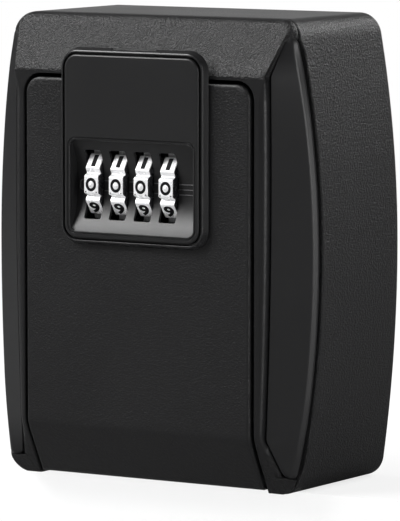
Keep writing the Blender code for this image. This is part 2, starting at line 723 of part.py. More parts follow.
def door_side_view():
    """Door in side view: flat front, folded lip and the matching back."""
    front = -DOOR_PROUD
    back = DOOR_THICKNESS - DOOR_PROUD
    fold = Vector((DOOR_LIP_DEPTH - front, DOOR_LIP_HEIGHT - LOWER_FOLD_HEIGHT)).normalized()
    across = Vector((-fold.y, fold.x))
    low = Vector((DOOR_LIP_DEPTH, DOOR_LIP_HEIGHT))
    foot = low + across * DOOR_THICKNESS
    turn = (1 - across.x) / across.y
    knee = LOWER_FOLD_HEIGHT + DOOR_THICKNESS * turn
    return [
        (at_depth(front), at_height(DOOR_TOP_HEIGHT)),
        (at_depth(front), at_height(LOWER_FOLD_HEIGHT)),
        (at_depth(low.x), at_height(low.y)),
        (at_depth(foot.x), at_height(foot.y)),
        (at_depth(back), at_height(knee)),
        (at_depth(back), at_height(DOOR_TOP_HEIGHT)),
    ]


def build_door(material):
    origin = hinge_origin()
    shape = bmesh.new()
    add_prism(shape, door_side_view(), "X", centred(DOOR_HALF_WIDTH))
    door = add_object("door_panel", shape, material, origin)

    rounding = bmesh.new()
    gap = DOOR_HALF_WIDTH - OPENING_HALF_WIDTH
    drop = OPENING_TOP_HEIGHT - DOOR_TOP_HEIGHT
    radius = DOOR_CORNER_RADIUS
    top = at_height(DOOR_TOP_HEIGHT)
    half = OPENING_HALF_WIDTH + gap
    right = [(half, at_height(0.0) - drop)] + arc((half - radius, top - radius), radius, 0.0, math.pi / 2, CORNER_STEPS)
    outline = right + [(-x, z) for x, z in reversed(right)]
    add_prism(rounding, outline, "Y", (at_depth(-CUT_MARGIN), at_depth(FLANGE_END_DEPTH)))
    combine(door, add_tool("door_corner_tool", rounding), "INTERSECT")
    soften(door, DOOR_EDGE, 2)

    knuckle = bmesh.new()
    reach = DOOR_HALF_WIDTH - KNUCKLE_SIDE_GAP
    add_rod(knuckle, KNUCKLE_RADIUS, origin, "X", centred(reach), ROUND_STEPS)
    join(door, "knuckle_tool", knuckle)

    holes = bmesh.new()
    pin_hole = bore_radius(HINGE_PIN_RADIUS, RUNNING_GAP, SMALL_ROUND_STEPS)
    add_rod(holes, pin_hole, origin, "X", centred(DOOR_HALF_WIDTH + CUT_MARGIN), SMALL_ROUND_STEPS)
    through = (at_depth(-DOOR_PROUD - CUT_MARGIN), at_depth(DOOR_THICKNESS + CUT_MARGIN))
    window = (at_height(WINDOW_BOTTOM_HEIGHT) - SCOOP_WALL - FIT_GAP, at_height(WINDOW_TOP_HEIGHT) + SCOOP_WALL + FIT_GAP)
    add_box(holes, centred(WINDOW_HALF_WIDTH + SCOOP_WALL + FIT_GAP), through, window)
    notch = (at_height(CASE_TOP_HEIGHT), at_height(DOOR_TOP_HEIGHT) + CUT_MARGIN)
    add_box(holes, centred(TAB_HALF_WIDTH + NOTCH_MARGIN), through, notch)
    for side in (-1, 1):
        centre = (side * CASE_EAR_SPREAD, 0.0, at_height(HOUSING_SCREW_HEIGHT))
        add_rod(holes, HOUSING_BOSS_RADIUS + FIT_GAP, centre, "Y", through, SMALL_ROUND_STEPS)
        centre = (side * CASE_EAR_SPREAD, 0.0, ear_height())
        blind = (at_depth(BLIND_FLOOR - DOOR_PROUD), at_depth(DOOR_THICKNESS + CUT_MARGIN))
        radius = bore_radius(SCREW_RADIUS, RUNNING_GAP, SMALL_ROUND_STEPS)
        add_rod(holes, radius, centre, "Y", blind, SMALL_ROUND_STEPS)
    cut(door, "door_hole_tool", holes)
    return door


def ear_height():
    return at_height(CASE_BOTTOM_HEIGHT - CASE_EAR_HEIGHT / 2)


def rounded_outline(half_width, low, high, radius):
    right = arc((half_width - radius, low + radius), radius, -math.pi / 2, 0.0, CORNER_STEPS)
    right += arc((half_width - radius, high - radius), radius, 0.0, math.pi / 2, CORNER_STEPS)
    return right + [(-x, z) for x, z in reversed(right)]


def dial_outline(inset):
    low = at_height(DIAL_BOTTOM_HEIGHT) + inset
    high = at_height(DIAL_TOP_HEIGHT) - inset
    return rounded_outline(DIAL_HALF_WIDTH - inset, low, high, DIAL_CORNER_RADIUS - inset)


def dial_levels():
    """Depths of the dial housing: front, fascia front, pocket floor and back."""
    back = -DOOR_PROUD - FIT_GAP
    floor = back - DIAL_FLOOR
    return -DIAL_PROUD, -DIAL_PROUD + DIAL_RIM_HEIGHT, floor, back


def build_dial_housing(material):
    front, _, floor, back = dial_levels()
    shape = bmesh.new()
    add_rings(shape, [
        ring_at(dial_outline(-DIAL_DRAFT), back),
        ring_at(dial_outline(-DIAL_EDGE / 2), front + DIAL_EDGE),
        ring_at(dial_outline(DIAL_EDGE / 2), front),
        ring_at(dial_outline(DIAL_RIM), front),
        ring_at(dial_outline(DIAL_RIM), floor),
    ])
    housing = add_object("dial_housing", shape, material, hinge_origin())
    bosses = bmesh.new()
    for side in (-1, 1):
        centre = (side * CASE_EAR_SPREAD, 0.0, at_height(HOUSING_SCREW_HEIGHT))
        span = (at_depth((floor + back) / 2), at_depth(DOOR_THICKNESS - DOOR_PROUD))
        add_rod(bosses, HOUSING_BOSS_RADIUS, centre, "Y", span, SMALL_ROUND_STEPS)
    join(housing, "boss_tool", bosses)
    holes = bmesh.new()
    window = (at_height(WINDOW_BOTTOM_HEIGHT) - SCOOP_WALL - FIT_GAP, at_height(WINDOW_TOP_HEIGHT) + SCOOP_WALL + FIT_GAP)
    depths = (at_depth(front + DIAL_RIM_HEIGHT), at_depth(CUT_MARGIN))
    add_box(holes, centred(WINDOW_HALF_WIDTH + SCOOP_WALL + FIT_GAP), depths, window)
    recess = (at_height(CASE_TOP_HEIGHT), at_height(DIAL_TOP_HEIGHT + CUT_MARGIN) + DIAL_DRAFT)
    depths = (at_depth(floor - FIT_GAP / 2), at_depth(CUT_MARGIN))
    add_box(holes, centred(TAB_RECESS_HALF_WIDTH), depths, recess)
    for side in (-1, 1):
        centre = (side * CASE_EAR_SPREAD, 0.0, at_height(HOUSING_SCREW_HEIGHT))
        span = (at_depth(back), at_depth(DOOR_THICKNESS + CUT_MARGIN))
        radius = bore_radius(SCREW_RADIUS, RUNNING_GAP, SMALL_ROUND_STEPS)
        add_rod(holes, radius, centre, "Y", span, SMALL_ROUND_STEPS)
    cut(housing, "dial_tool", holes)


def scoop_radius():
    half_chord = (WINDOW_TOP_HEIGHT - WINDOW_BOTTOM_HEIGHT) / 2
    return (half_chord ** 2 + SCOOP_SAG ** 2) / (2 * SCOOP_SAG)


def wheel_x(index):
    return WHEEL_SHIFT + (index - (WHEEL_COUNT - 1) / 2) * WHEEL_PITCH


def build_fascia(material):
    _, front, floor, _ = dial_levels()
    back = floor - FIT_GAP
    shape = bmesh.new()
    outline = dial_outline(DIAL_RIM + FIT_GAP)
    add_prism(shape, outline, "Y", (at_depth(front), at_depth(back)))
    fascia = add_object("dial_fascia", shape, material, hinge_origin())

    radius = scoop_radius()
    middle = at_height((WINDOW_TOP_HEIGHT + WINDOW_BOTTOM_HEIGHT) / 2)
    centre = (at_depth(front + SCOOP_SAG - radius), middle)
    outer = radius + SCOOP_WALL
    turn = math.acos((radius - SCOOP_SAG + (back - front) / 2) / outer)
    block = bmesh.new()
    add_prism(block, arc(centre, outer, -turn, turn, ARC_STEPS), "X", centred(WINDOW_HALF_WIDTH + SCOOP_WALL))
    join(fascia, "scoop_block_tool", block)

    hollow = bmesh.new()
    turn = math.acos((radius - SCOOP_SAG - CUT_MARGIN) / radius)
    add_prism(hollow, arc(centre, radius, -turn, turn, ARC_STEPS), "X", centred(WINDOW_HALF_WIDTH))
    cut(fascia, "scoop_tool", hollow)

    slots = bmesh.new()
    slot_middle = at_height(WHEEL_AXIS_HEIGHT)
    for index in range(WHEEL_COUNT):
        depths = (at_depth(front - CUT_MARGIN), at_depth(SCOOP_SAG + CUT_MARGIN))
        add_box(slots, centred(SLOT_HALF_WIDTH, wheel_x(index)), depths, centred(SLOT_HALF_HEIGHT, slot_middle))
    cut(fascia, "slot_tool", slots)


def case_front():
    return DOOR_THICKNESS - DOOR_PROUD + FIT_GAP


def build_lock_case(material):
    front = case_front()
    low = at_height(CASE_BOTTOM_HEIGHT)
    high = at_height(CASE_TOP_HEIGHT)
    shape = bmesh.new()
    add_box(shape, centred(CASE_HALF_WIDTH), (at_depth(front), at_depth(CASE_END_DEPTH)), (low, high))
    case = add_object("lock_case", shape, material, hinge_origin())

    inside = bmesh.new()
    depths = (at_depth(front + CASE_WALL), at_depth(CASE_END_DEPTH + CUT_MARGIN))
    add_box(inside, centred(CASE_HALF_WIDTH - CASE_WALL), depths, (low + CASE_WALL, high - CASE_WALL))
    cut(case, "case_inside_tool", inside)

    added = bmesh.new()
    ear = (at_depth(front), at_depth(front + CASE_WALL))
    boss = CASE_HALF_WIDTH - COVER_BOSS_HALF - CASE_WALL / 2
    for side in (-1, 1):
        span = centred(CASE_EAR_HALF_WIDTH, side * CASE_EAR_SPREAD)
        add_box(added, span, ear, (low - CASE_EAR_HEIGHT, low + CASE_WALL / 2))
        for edge, rise in ((low, 1), (high, -1)):
            start = edge + rise * CASE_WALL / 2
            end = edge + rise * 2 * COVER_BOSS_HALF
            depths = (at_depth(CASE_END_DEPTH - COVER_BOSS_DROP), at_depth(CASE_END_DEPTH))
            add_box(added, centred(COVER_BOSS_HALF, side * boss), depths, sorted((start, end)))
    ledge = (at_depth(COMB_SPINE_DEPTH), at_depth(COMB_END_DEPTH))
    reach = (wheel_x(0) - WHEEL_PITCH / 2, wheel_x(WHEEL_COUNT - 1) + WHEEL_PITCH / 2)
    add_box(added, reach, ledge, (low + CASE_WALL / 2, comb_top() - COMB_THICKNESS - FIT_GAP))
    join(case, "case_added_tool", added)

    holes = bmesh.new()
    window = (at_height(WINDOW_BOTTOM_HEIGHT) - SCOOP_WALL - FIT_GAP, at_height(WINDOW_TOP_HEIGHT) + SCOOP_WALL + FIT_GAP)
    depths = (at_depth(front - CUT_MARGIN), at_depth(front + CASE_WALL + CUT_MARGIN))
    add_box(holes, centred(WINDOW_HALF_WIDTH + SCOOP_WALL + FIT_GAP), depths, window)
    for side in (-1, 1):
        for height in (at_height(HOUSING_SCREW_HEIGHT), ear_height()):
            centre = (side * CASE_EAR_SPREAD, 0.0, height)
            add_rod(holes, SCREW_RADIUS + FIT_GAP / 2, centre, "Y", depths, SMALL_ROUND_STEPS)
        for height in cover_screw_heights():
            centre = (side * boss, 0.0, height)
            span = (at_depth(CASE_END_DEPTH - COVER_BOSS_DROP + BLIND_FLOOR), at_depth(CASE_END_DEPTH + CUT_MARGIN))
            radius = bore_radius(SCREW_RADIUS, RUNNING_GAP, SMALL_ROUND_STEPS)
            add_rod(holes, radius, centre, "Y", span, SMALL_ROUND_STEPS)
    centre = (0.0, at_depth(WHEEL_AXIS_DEPTH), at_height(WHEEL_AXIS_HEIGHT))
    radius = bore_radius(SHAFT_RADIUS, RUNNING_GAP, SMALL_ROUND_STEPS)
    add_rod(holes, radius, centre, "X", centred(CASE_HALF_WIDTH + CUT_MARGIN), SMALL_ROUND_STEPS)
    depths = (at_depth(BOLT_FRONT_DEPTH - BOLT_GAP), at_depth(BOLT_BACK_DEPTH + BOLT_GAP))
    add_box(holes, centred(BOLT_HALF_WIDTH + BOLT_GAP), depths, (high - CASE_WALL - CUT_MARGIN, high + CUT_MARGIN))
    cut(case, "case_hole_tool", holes)
    return boss


def cover_screw_heights():
    low = at_height(CASE_BOTTOM_HEIGHT) + COVER_BOSS_HALF + CASE_WALL / 2
    high = at_height(CASE_TOP_HEIGHT) - COVER_BOSS_HALF - CASE_WALL / 2
    return low, high


def build_lock_cover(material, screw_steel, boss):
    front = CASE_END_DEPTH + FIT_GAP
    back = front + COVER_THICKNESS
    shape = bmesh.new()
    depths = (at_depth(front), at_depth(back))
    add_box(shape, centred(CASE_HALF_WIDTH), depths, (at_height(CASE_BOTTOM_HEIGHT), at_height(CASE_TOP_HEIGHT)))
    cover = add_object("lock_cover", shape, material, hinge_origin())
    holes = bmesh.new()
    through = (at_depth(front - CUT_MARGIN), at_depth(back + CUT_MARGIN))
    for side in (-1, 1):
        for height in cover_screw_heights():
            centre = (side * boss, 0.0, height)
            add_rod(holes, SCREW_RADIUS + FIT_GAP / 2, centre, "Y", through, SMALL_ROUND_STEPS)
    half = LEVER_STEM_HALF_WIDTH + FIT_GAP
    span = (LEVER_START - half, LEVER_START + LEVER_TRAVEL + half)
    add_box(holes, span, through, centred(LEVER_STEM_HALF_HEIGHT + FIT_GAP, at_height(LEVER_HEIGHT)))
    cut(cover, "cover_tool", holes)

    index = 1
    for height in cover_screw_heights():
        for side in (-1, 1):
            centre = (side * boss, at_depth(back + FIT_GAP), height)
            screw("cover_screw_%d" % index, screw_steel, centre, "Y", 1, COVER_SCREW_LENGTH, origin=hinge_origin())
            index += 1


def build_case_screws(material):
    index = 1
    head = at_depth(case_front() + CASE_WALL + FIT_GAP)
    for height in (ear_height(), at_height(HOUSING_SCREW_HEIGHT)):
        for side in (-1, 1):
            centre = (side * CASE_EAR_SPREAD, head, height)
            length = CASE_WALL + DOOR_THICKNESS - BLIND_FLOOR
            screw("case_screw_%d" % index, material, centre, "Y", 1, length, origin=hinge_origin())
            index += 1


def wheel_centre(index=None):
    x = 0.0 if index is None else wheel_x(index)
    return (x, at_depth(WHEEL_AXIS_DEPTH), at_height(WHEEL_AXIS_HEIGHT))


def wheel_side_view():
    """Ten raised flat pads with a valley between each pair, the first one facing front."""
    outline = []
    pad = math.atan(WHEEL_PAD_HALF_HEIGHT / WHEEL_FACE_RADIUS)
    corner = WHEEL_FACE_RADIUS / math.cos(pad)
    for face in range(WHEEL_FACES):
        middle = math.pi + 2 * math.pi * face / WHEEL_FACES
        for turn, radius in ((-pad, corner), (pad, corner), (math.pi / WHEEL_FACES, WHEEL_ROOT_RADIUS)):
            angle = middle + turn
            outline.append((at_depth(WHEEL_AXIS_DEPTH) + radius * math.cos(angle),
                            at_height(WHEEL_AXIS_HEIGHT) + radius * math.sin(angle)))
    return outline


def build_wheels(chrome, cam_steel, steel):
    for index in range(WHEEL_COUNT):
        centre = wheel_centre(index)
        shape = bmesh.new()
        add_prism(shape, wheel_side_view(), "X", centred(WHEEL_HALF_WIDTH, centre[0]))
        wheel = add_object("number_wheel_%d" % (index + 1), shape, chrome, centre)
        hole = bmesh.new()
        reach = WHEEL_HALF_WIDTH + CUT_MARGIN
        add_rod(hole, WHEEL_BORE_RADIUS, centre, "X", centred(reach), ROUND_STEPS)
        cut(wheel, "wheel_bore_tool_%d" % (index + 1), hole)

        start = WHEEL_HALF_WIDTH + FIT_GAP
        end = start + CAM_THICKNESS
        bore = bore_radius(SHAFT_RADIUS, RUNNING_GAP, ROUND_STEPS)
        profile = [(-WHEEL_HALF_WIDTH, bore), (-WHEEL_HALF_WIDTH, SLEEVE_RADIUS), (start, SLEEVE_RADIUS)]
        profile += [(start, CAM_RADIUS), (end, CAM_RADIUS), (end, bore)]
        shape = bmesh.new()
        add_lathe(shape, profile, centre, "X", ROUND_STEPS, closed=True)
        sleeve = add_object("wheel_sleeve_%d" % (index + 1), shape, cam_steel, centre)
        gate = bmesh.new()
        span = (centre[0] + start - CUT_MARGIN / 10, centre[0] + end + CUT_MARGIN)
        rise = (centre[2] + CAM_RADIUS - GATE_DEPTH, centre[2] + CAM_RADIUS + CUT_MARGIN)
        add_box(gate, span, centred(GATE_WIDTH / 2, centre[1]), rise)
        cut(sleeve, "gate_tool_%d" % (index + 1), gate)

    for index in range(WHEEL_COUNT - 1):
        low = WHEEL_HALF_WIDTH + FIT_GAP + CAM_THICKNESS + SPACER_SIDE_GAP
        high = WHEEL_PITCH - WHEEL_HALF_WIDTH - SPACER_SIDE_GAP
        bore = bore_radius(SHAFT_RADIUS, RUNNING_GAP, ROUND_STEPS)
        profile = [(low, bore), (low, SPACER_RADIUS), (high, SPACER_RADIUS), (high, bore)]
        shape = bmesh.new()
        add_lathe(shape, profile, wheel_centre(index), "X", ROUND_STEPS, closed=True)
        add_object("wheel_spacer_%d" % (index + 1), shape, steel, hinge_origin())

    shape = bmesh.new()
    add_rod(shape, SHAFT_RADIUS, wheel_centre(), "X", centred(CASE_HALF_WIDTH - PIN_END_INSET), ROUND_STEPS)
    add_object("wheel_shaft", shape, steel, wheel_centre(), smooth=True)


def comb_top():
    pad = math.atan(WHEEL_PAD_HALF_HEIGHT / WHEEL_FACE_RADIUS)
    return at_height(WHEEL_AXIS_HEIGHT) - WHEEL_FACE_RADIUS / math.cos(pad) - COMB_CLEARANCE


def build_comb(material):
    """Flat spring with one finger under each number wheel."""
    front = at_depth(COMB_FRONT_DEPTH)
    spine = at_depth(COMB_SPINE_DEPTH)
    outline = []
    for index in range(WHEEL_COUNT):
        low = wheel_x(index) - WHEEL_HALF_WIDTH
        high = wheel_x(index) + WHEEL_HALF_WIDTH
        outline += [(low, spine), (low, front), (high, front), (high, spine)]
    outline += [(outline[-1][0], at_depth(COMB_END_DEPTH)), (outline[0][0], at_depth(COMB_END_DEPTH))]
    shape = bmesh.new()
    add_prism(shape, outline, "Z", (comb_top() - COMB_THICKNESS, comb_top()))
    add_object("detent_spring", shape, material, hinge_origin())


def build_bolt(steel, tab_material):
    depths = (at_depth(BOLT_FRONT_DEPTH), at_depth(BOLT_BACK_DEPTH))
    low = at_height(FENCE_BOTTOM_HEIGHT)
    high = at_height(FENCE_TOP_HEIGHT)
    cam_middle = WHEEL_HALF_WIDTH + FIT_GAP + CAM_THICKNESS / 2
    first = wheel_x(0) + cam_middle - FINGER_HALF_WIDTH
    last = wheel_x(WHEEL_COUNT - 1) + cam_middle + FINGER_HALF_WIDTH
    outline = [(first, low), (first, high), (-BOLT_HALF_WIDTH, high), (-BOLT_HALF_WIDTH, at_height(BOLT_TOP_HEIGHT))]
    outline += [(BOLT_HALF_WIDTH, at_height(BOLT_TOP_HEIGHT)), (BOLT_HALF_WIDTH, high), (last, high), (last, low)]
    shape = bmesh.new()
    add_prism(shape, outline, "Y", depths)
    bolt = add_object("bolt_slide", shape, steel)
    fingers = bmesh.new()
    tip = at_height(WHEEL_AXIS_HEIGHT) + CAM_RADIUS + FINGER_CLEARANCE
    for index in range(WHEEL_COUNT):
        span = centred(FINGER_HALF_WIDTH, wheel_x(index) + cam_middle)
        add_box(fingers, span, centred(FINGER_HALF_DEPTH, at_depth(WHEEL_AXIS_DEPTH)), (tip, (low + high) / 2))
    join(bolt, "finger_tool", fingers)

    arm_low = at_height(TAB_ARM_BOTTOM_HEIGHT)
    front = at_depth(TAB_FRONT_DEPTH)
    back = at_depth(TAB_BACK_DEPTH)
    side_view = [
        (at_depth(BOLT_FRONT_DEPTH - FIT_GAP), arm_low),
        (at_depth(BOLT_FRONT_DEPTH - FIT_GAP), at_height(TAB_ARM_TOP_HEIGHT)),
        (back, at_height(TAB_ARM_TOP_HEIGHT)), (back, at_height(TAB_TOP_HEIGHT)),
        (front, at_height(TAB_TOP_HEIGHT)), (front, arm_low),
    ]
    shape = bmesh.new()
    add_prism(shape, side_view, "X", centred(TAB_HALF_WIDTH))
    tab = add_object("release_tab", shape, tab_material)
    pad = bmesh.new()
    rise = (at_height(TAB_TOP_HEIGHT - TAB_PAD_HEIGHT), at_height(TAB_TOP_HEIGHT))
    add_box(pad, centred(TAB_PAD_HALF_WIDTH), (front, back), rise)
    join(tab, "tab_pad_tool", pad)


def build_lever(material):
    back = CASE_END_DEPTH + FIT_GAP + COVER_THICKNESS + FIT_GAP
    shape = bmesh.new()
    height = at_height(LEVER_HEIGHT)
    depths = (at_depth(back), at_depth(back + LEVER_KNOB_DEPTH))
    add_box(shape, centred(LEVER_KNOB_HALF_WIDTH, LEVER_START), depths, centred(LEVER_KNOB_HALF_HEIGHT, height))
    lever = add_object("reset_lever", shape, material)
    stem = bmesh.new()
    depths = (at_depth(CASE_END_DEPTH - LEVER_STEM_INSIDE), at_depth(back + LEVER_KNOB_DEPTH / 2))
    add_box(stem, centred(LEVER_STEM_HALF_WIDTH, LEVER_START), depths, centred(LEVER_STEM_HALF_HEIGHT, height))
    join(lever, "lever_stem_tool", stem)


def main():
    clear_scene()
    black_metal = make_material("black_metal", (0.025, 0.025, 0.027), 0.5, 0.0)
    door_metal = make_material("door_metal", (0.03, 0.03, 0.032), 0.48, 0.0)
    trim_plastic = make_material("trim_plastic", (0.03, 0.03, 0.032), 0.42, 0.0)
    dial_plastic = make_material("dial_plastic", (0.035, 0.035, 0.038), 0.4, 0.0)
    fascia_plastic = make_material("fascia_plastic", (0.028, 0.028, 0.03), 0.5, 0.0)
    wheel_chrome = make_material("wheel_chrome", (0.85, 0.85, 0.86), 0.18, 1.0)
    cam_steel = make_material("cam_steel", (0.06, 0.06, 0.065), 0.4, 1.0)
    steel = make_material("steel", (0.6, 0.6, 0.62), 0.35, 1.0)
    screw_steel = make_material("screw_steel", (0.5, 0.5, 0.52), 0.3, 1.0)
    case_metal = make_material("case_metal", (0.12, 0.12, 0.125), 0.55, 0.0)
    lever_plastic = make_material("lever_plastic", (0.6, 0.08, 0.06), 0.45, 0.0)

    build_rear_housing(black_metal)
    build_surround(black_metal)
    build_side_trims(trim_plastic)
    build_strike(steel, screw_steel)
    build_hinge_pin(steel)
    build_frame_screws(screw_steel)
    build_hooks(steel)
    build_door(door_metal)
    build_dial_housing(dial_plastic)
    build_fascia(fascia_plastic)
    boss = build_lock_case(case_metal)
    build_lock_cover(case_metal, screw_steel, boss)
    build_case_screws(screw_steel)
    build_wheels(wheel_chrome, cam_steel, steel)
    build_comb(steel)
    build_bolt(steel, lever_plastic)
    build_lever(lever_plastic)


main()
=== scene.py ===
import math

import bmesh
import bpy
import numpy as np
from bpy.props import FloatProperty, FloatVectorProperty, IntProperty, PointerProperty
from bpy.types import Operator, Panel, PropertyGroup
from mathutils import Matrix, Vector, geometry


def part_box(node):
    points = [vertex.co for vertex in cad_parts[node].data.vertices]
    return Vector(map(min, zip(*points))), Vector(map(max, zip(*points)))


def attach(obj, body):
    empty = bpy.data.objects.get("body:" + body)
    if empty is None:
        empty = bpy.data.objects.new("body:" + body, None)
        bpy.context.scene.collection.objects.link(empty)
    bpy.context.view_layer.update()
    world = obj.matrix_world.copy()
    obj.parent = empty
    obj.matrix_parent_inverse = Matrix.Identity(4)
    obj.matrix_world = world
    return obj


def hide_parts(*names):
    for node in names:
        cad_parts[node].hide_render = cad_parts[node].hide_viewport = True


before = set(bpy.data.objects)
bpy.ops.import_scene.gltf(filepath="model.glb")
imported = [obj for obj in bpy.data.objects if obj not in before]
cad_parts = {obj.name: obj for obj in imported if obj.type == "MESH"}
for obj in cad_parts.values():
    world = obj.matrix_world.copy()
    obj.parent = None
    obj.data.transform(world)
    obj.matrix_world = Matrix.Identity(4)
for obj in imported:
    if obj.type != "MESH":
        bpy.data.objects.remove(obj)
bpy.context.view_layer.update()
housing_low, housing_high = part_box("rear_housing")

bl_info = {
    "name": "Key cabinet with number wheels",
    "version": (1, 0, 0),
    "blender": (4, 5, 0),
    "location": "3D View > Sidebar > Key cabinet",
    "description": "Dresses the key cabinet's frame with finished surfaces, number wheels and a studio",
    "category": "Object",
}

MM = 0.001
# Angles on the lower and upper corner arcs, in degrees, where the seams beside the trims end.
LOW_TIP_TURN = 20.0
HIGH_TIP_TURN = 15.0
# Points on half of the body's outline: along the base to the front frame's foot and on to the corner, then steps
# along the lower corner, each of the two side arcs, the upper corner and the top.
BASE_COUNTS = (14, 4)
FOOT_STEPS = 12
SIDE_STEPS = 42
HEAD_STEPS = 16
TOP_STEPS = 10


def length(name, millimetres, description):
    """A size in metres whose default is written in millimetres."""
    return FloatProperty(name=name, description=description, default=millimetres * MM,
                         unit="LENGTH", subtype="DISTANCE", precision=5)


def colour(name, value, description):
    return FloatVectorProperty(name=name, description=description, default=value, size=3, subtype="COLOR",
                               min=0.0, max=1.0)


def share(name, value, description):
    return FloatProperty(name=name, description=description, default=value, min=0.0, max=1.0, subtype="FACTOR")


def power(name, watts, description):
    return FloatProperty(name=name, description=description, default=watts, min=0.0, subtype="POWER")


def angle(name, degrees, description):
    return FloatProperty(name=name, description=description, default=math.radians(degrees), subtype="ANGLE")


class CabinetSizes(PropertyGroup):
    """Body, front frame, side trims and door."""
    height: length("Height", (housing_high[2] - housing_low[2]) / MM, "Height of the body")
    depth: length("Depth", 60.0, "Wall to front plane")
    half_width: length("Half width", housing_high[0] / MM, "Middle to the side at mid height")
    side_arc: length("Side arc", 361.0, "Radius of the bulging sides above mid height")
    low_arc: length("Lower side arc", 470.0, "Radius of the bulging sides below mid height")
    top_corner: length("Top corner", 7.5, "Radius of the body's top corners")
    low_corner: length("Lower corner", 7.0, "Radius of the body's lower corners")
    groove: length("Groove", 1.7, "Open groove between side trim and body")
    trim_gap: length("Trim gap", 0.5, "Gap between the front frame's strip and the side trim")
    trim_recess: length("Trim recess", 2.4, "How far the side trim lies behind the front frame's strip")
    band_rise: length("Band rise", 0.75, "How far the trim's rounded band is raised")
    wall: length("Wall", 2.5, "Wall of the rear housing")
    rear_edge: length("Rear edge", 1.3, "Rounding along the wall side")
    hole_half: length("Hole place", 30.0, "Middle to each wall screw hole")
    hole_rise: length("Hole rise", 45.0, "Mid height to each wall screw hole")
    hole: length("Hole", 2.7, "Radius of the wall screw holes")
    hole_mouth: length("Hole mouth", 3.3, "Radius of the holes at the back face")
    lug_low: length("Lower lugs", 22.0, "Height of the lower frame screws")
    lug_high: length("Upper lugs", 118.0, "Height of the upper frame screws")
    lug_half: length("Lug half height", 4.0, "Half of a lug's height")
    seam: length("Seam", 0.3, "Gap between pressed pieces")
    front_half: length("Front half width", 45.95, "Middle to the upright fold beside the door, where widest")
    strip_peak: length("Strip peak", 95.0, "Height where the front is widest")
    strip_bow: length("Strip bow", 2.6, "How far the upright fold draws in from its widest place to the foot")
    mitre_high_x: length("Upper mitre place", 48.0, "Middle to the upper end of the seam beside the trim")
    mitre_high_z: length("Upper mitre height", 140.3, "Height of that end")
    mitre_low_x: length("Lower mitre place", 47.4, "Middle to the lower end of the seam beside the trim")
    mitre_low_z: length("Lower mitre height", 5.6, "Height of that end")
    mitre_low_depth: length("Lower mitre depth", 6.1, "Depth of that end")
    upper_fold: length("Upper fold", 128.1, "Height of the fold above the door")
    lower_fold: length("Lower fold", 17.1, "Height of the fold below the door")
    fold_corner: length("Fold corner", 0.8, "Rounding of the front plane's corners")
    top_setback: length("Top setback", 10.2, "Depth of the top fold")
    low_setback: length("Lower setback", 8.8, "Depth of the lower fold")
    side_setback: length("Side setback", 11.1, "Depth of the side fold at mid height")
    upper_tip: length("Upper tip", 9.3, "Depth of the side fold at its upper end")
    lower_tip: length("Lower tip", 7.7, "Depth of the side fold at its lower end")
    side_step: length("Side step", 0.4, "Straight edge behind the side fold")
    top_step: length("Top step", 3.4, "Straight edge behind the top fold")
    opening_half: length("Opening half width", 41.7, "Middle to the side of the door opening")
    opening_top: length("Opening top", 126.6, "Height of the door opening")
    opening_corner: length("Opening corner", 6.0, "Radius of the opening's upper corners")
    flange: length("Flange", 2.2, "Wall of the flange round the door")
    flange_end: length("Flange end", 14.5, "Depth of the flange's free edge")
    frame_shell: length("Frame wall", 2.4, "Wall of the front frame")
    arm_slot: length("Arm slot", 3.4, "Half width of the frame's slot for the release tab's arm")
    bolt_slot: length("Bolt slot", 7.4, "Half width of the flange's slot for the bolt")
    bolt_front: length("Bolt slot front", 8.6, "Depth where the bolt's slot starts")
    bolt_back: length("Bolt slot back", 12.4, "Depth where the bolt's slot ends")
    fold_round: length("Fold rounding", 3.3, "Reach of the rounding along the top fold")
    strip_round: length("Strip rounding", 2.7, "Radius of the rounding on the strips' outer edge")
    door_half: length("Door half width", 40.7, "Middle to the side of the door")
    door_top: length("Door top", 125.45, "Height of the door's upper edge")
    door_corner: length("Door corner", 5.0, "Radius of the door's upper corners")
    door_proud: length("Door proud", 0.8, "How far the door stands in front")
    door_wall: length("Door wall", 2.7, "Thickness of the door")
    door_lip: length("Door lip", 0.9, "Height of the door's lower edge")
    door_edge: length("Door edge", 1.0, "Rounding round the door")
    hinge_depth: length("Hinge depth", 10.5, "Depth of the hinge")
    hinge_height: length("Hinge height", 4.0, "Height of the hinge")
    knuckle: length("Knuckle", 3.2, "Radius of the hinge barrel")
    pin: length("Pin", 1.6, "Radius of the hinge pin")
    trim_band: length("Trim band", 1.35, "Width of the rounded band along each trim's rear edge")
    trim_wall: length("Trim wall", 2.2, "Thickness of the side trims")
    trim_draw: length("Trim draw", 0.15, "How far the trims' rear edges lie inside the body's outline")
    foot_draw: length("Foot draw", 0.9, "Further draw of those edges towards their lower ends")
    head_draw: length("Head draw", 0.45, "Further draw of those edges towards their upper ends")
    trim_blunt: length("Trim blunt", 1.9, "Rounding of the trims' pointed ends")
    notch_half: length("Notch half width", 3.6, "Half width of the door's notch for the release tab's arm")
    notch_foot: length("Notch foot", 123.0, "Height of that notch's floor")
    bend_round: length("Bend rounding", 1.6, "Reach of the easing at the fold below the door")
    frame_root: length("Frame root", 3.6, "Depth of the frame's wall over the door")
    strip_lip: length("Strip lip", 4.3, "Depth of the wall behind the strips beside the door")


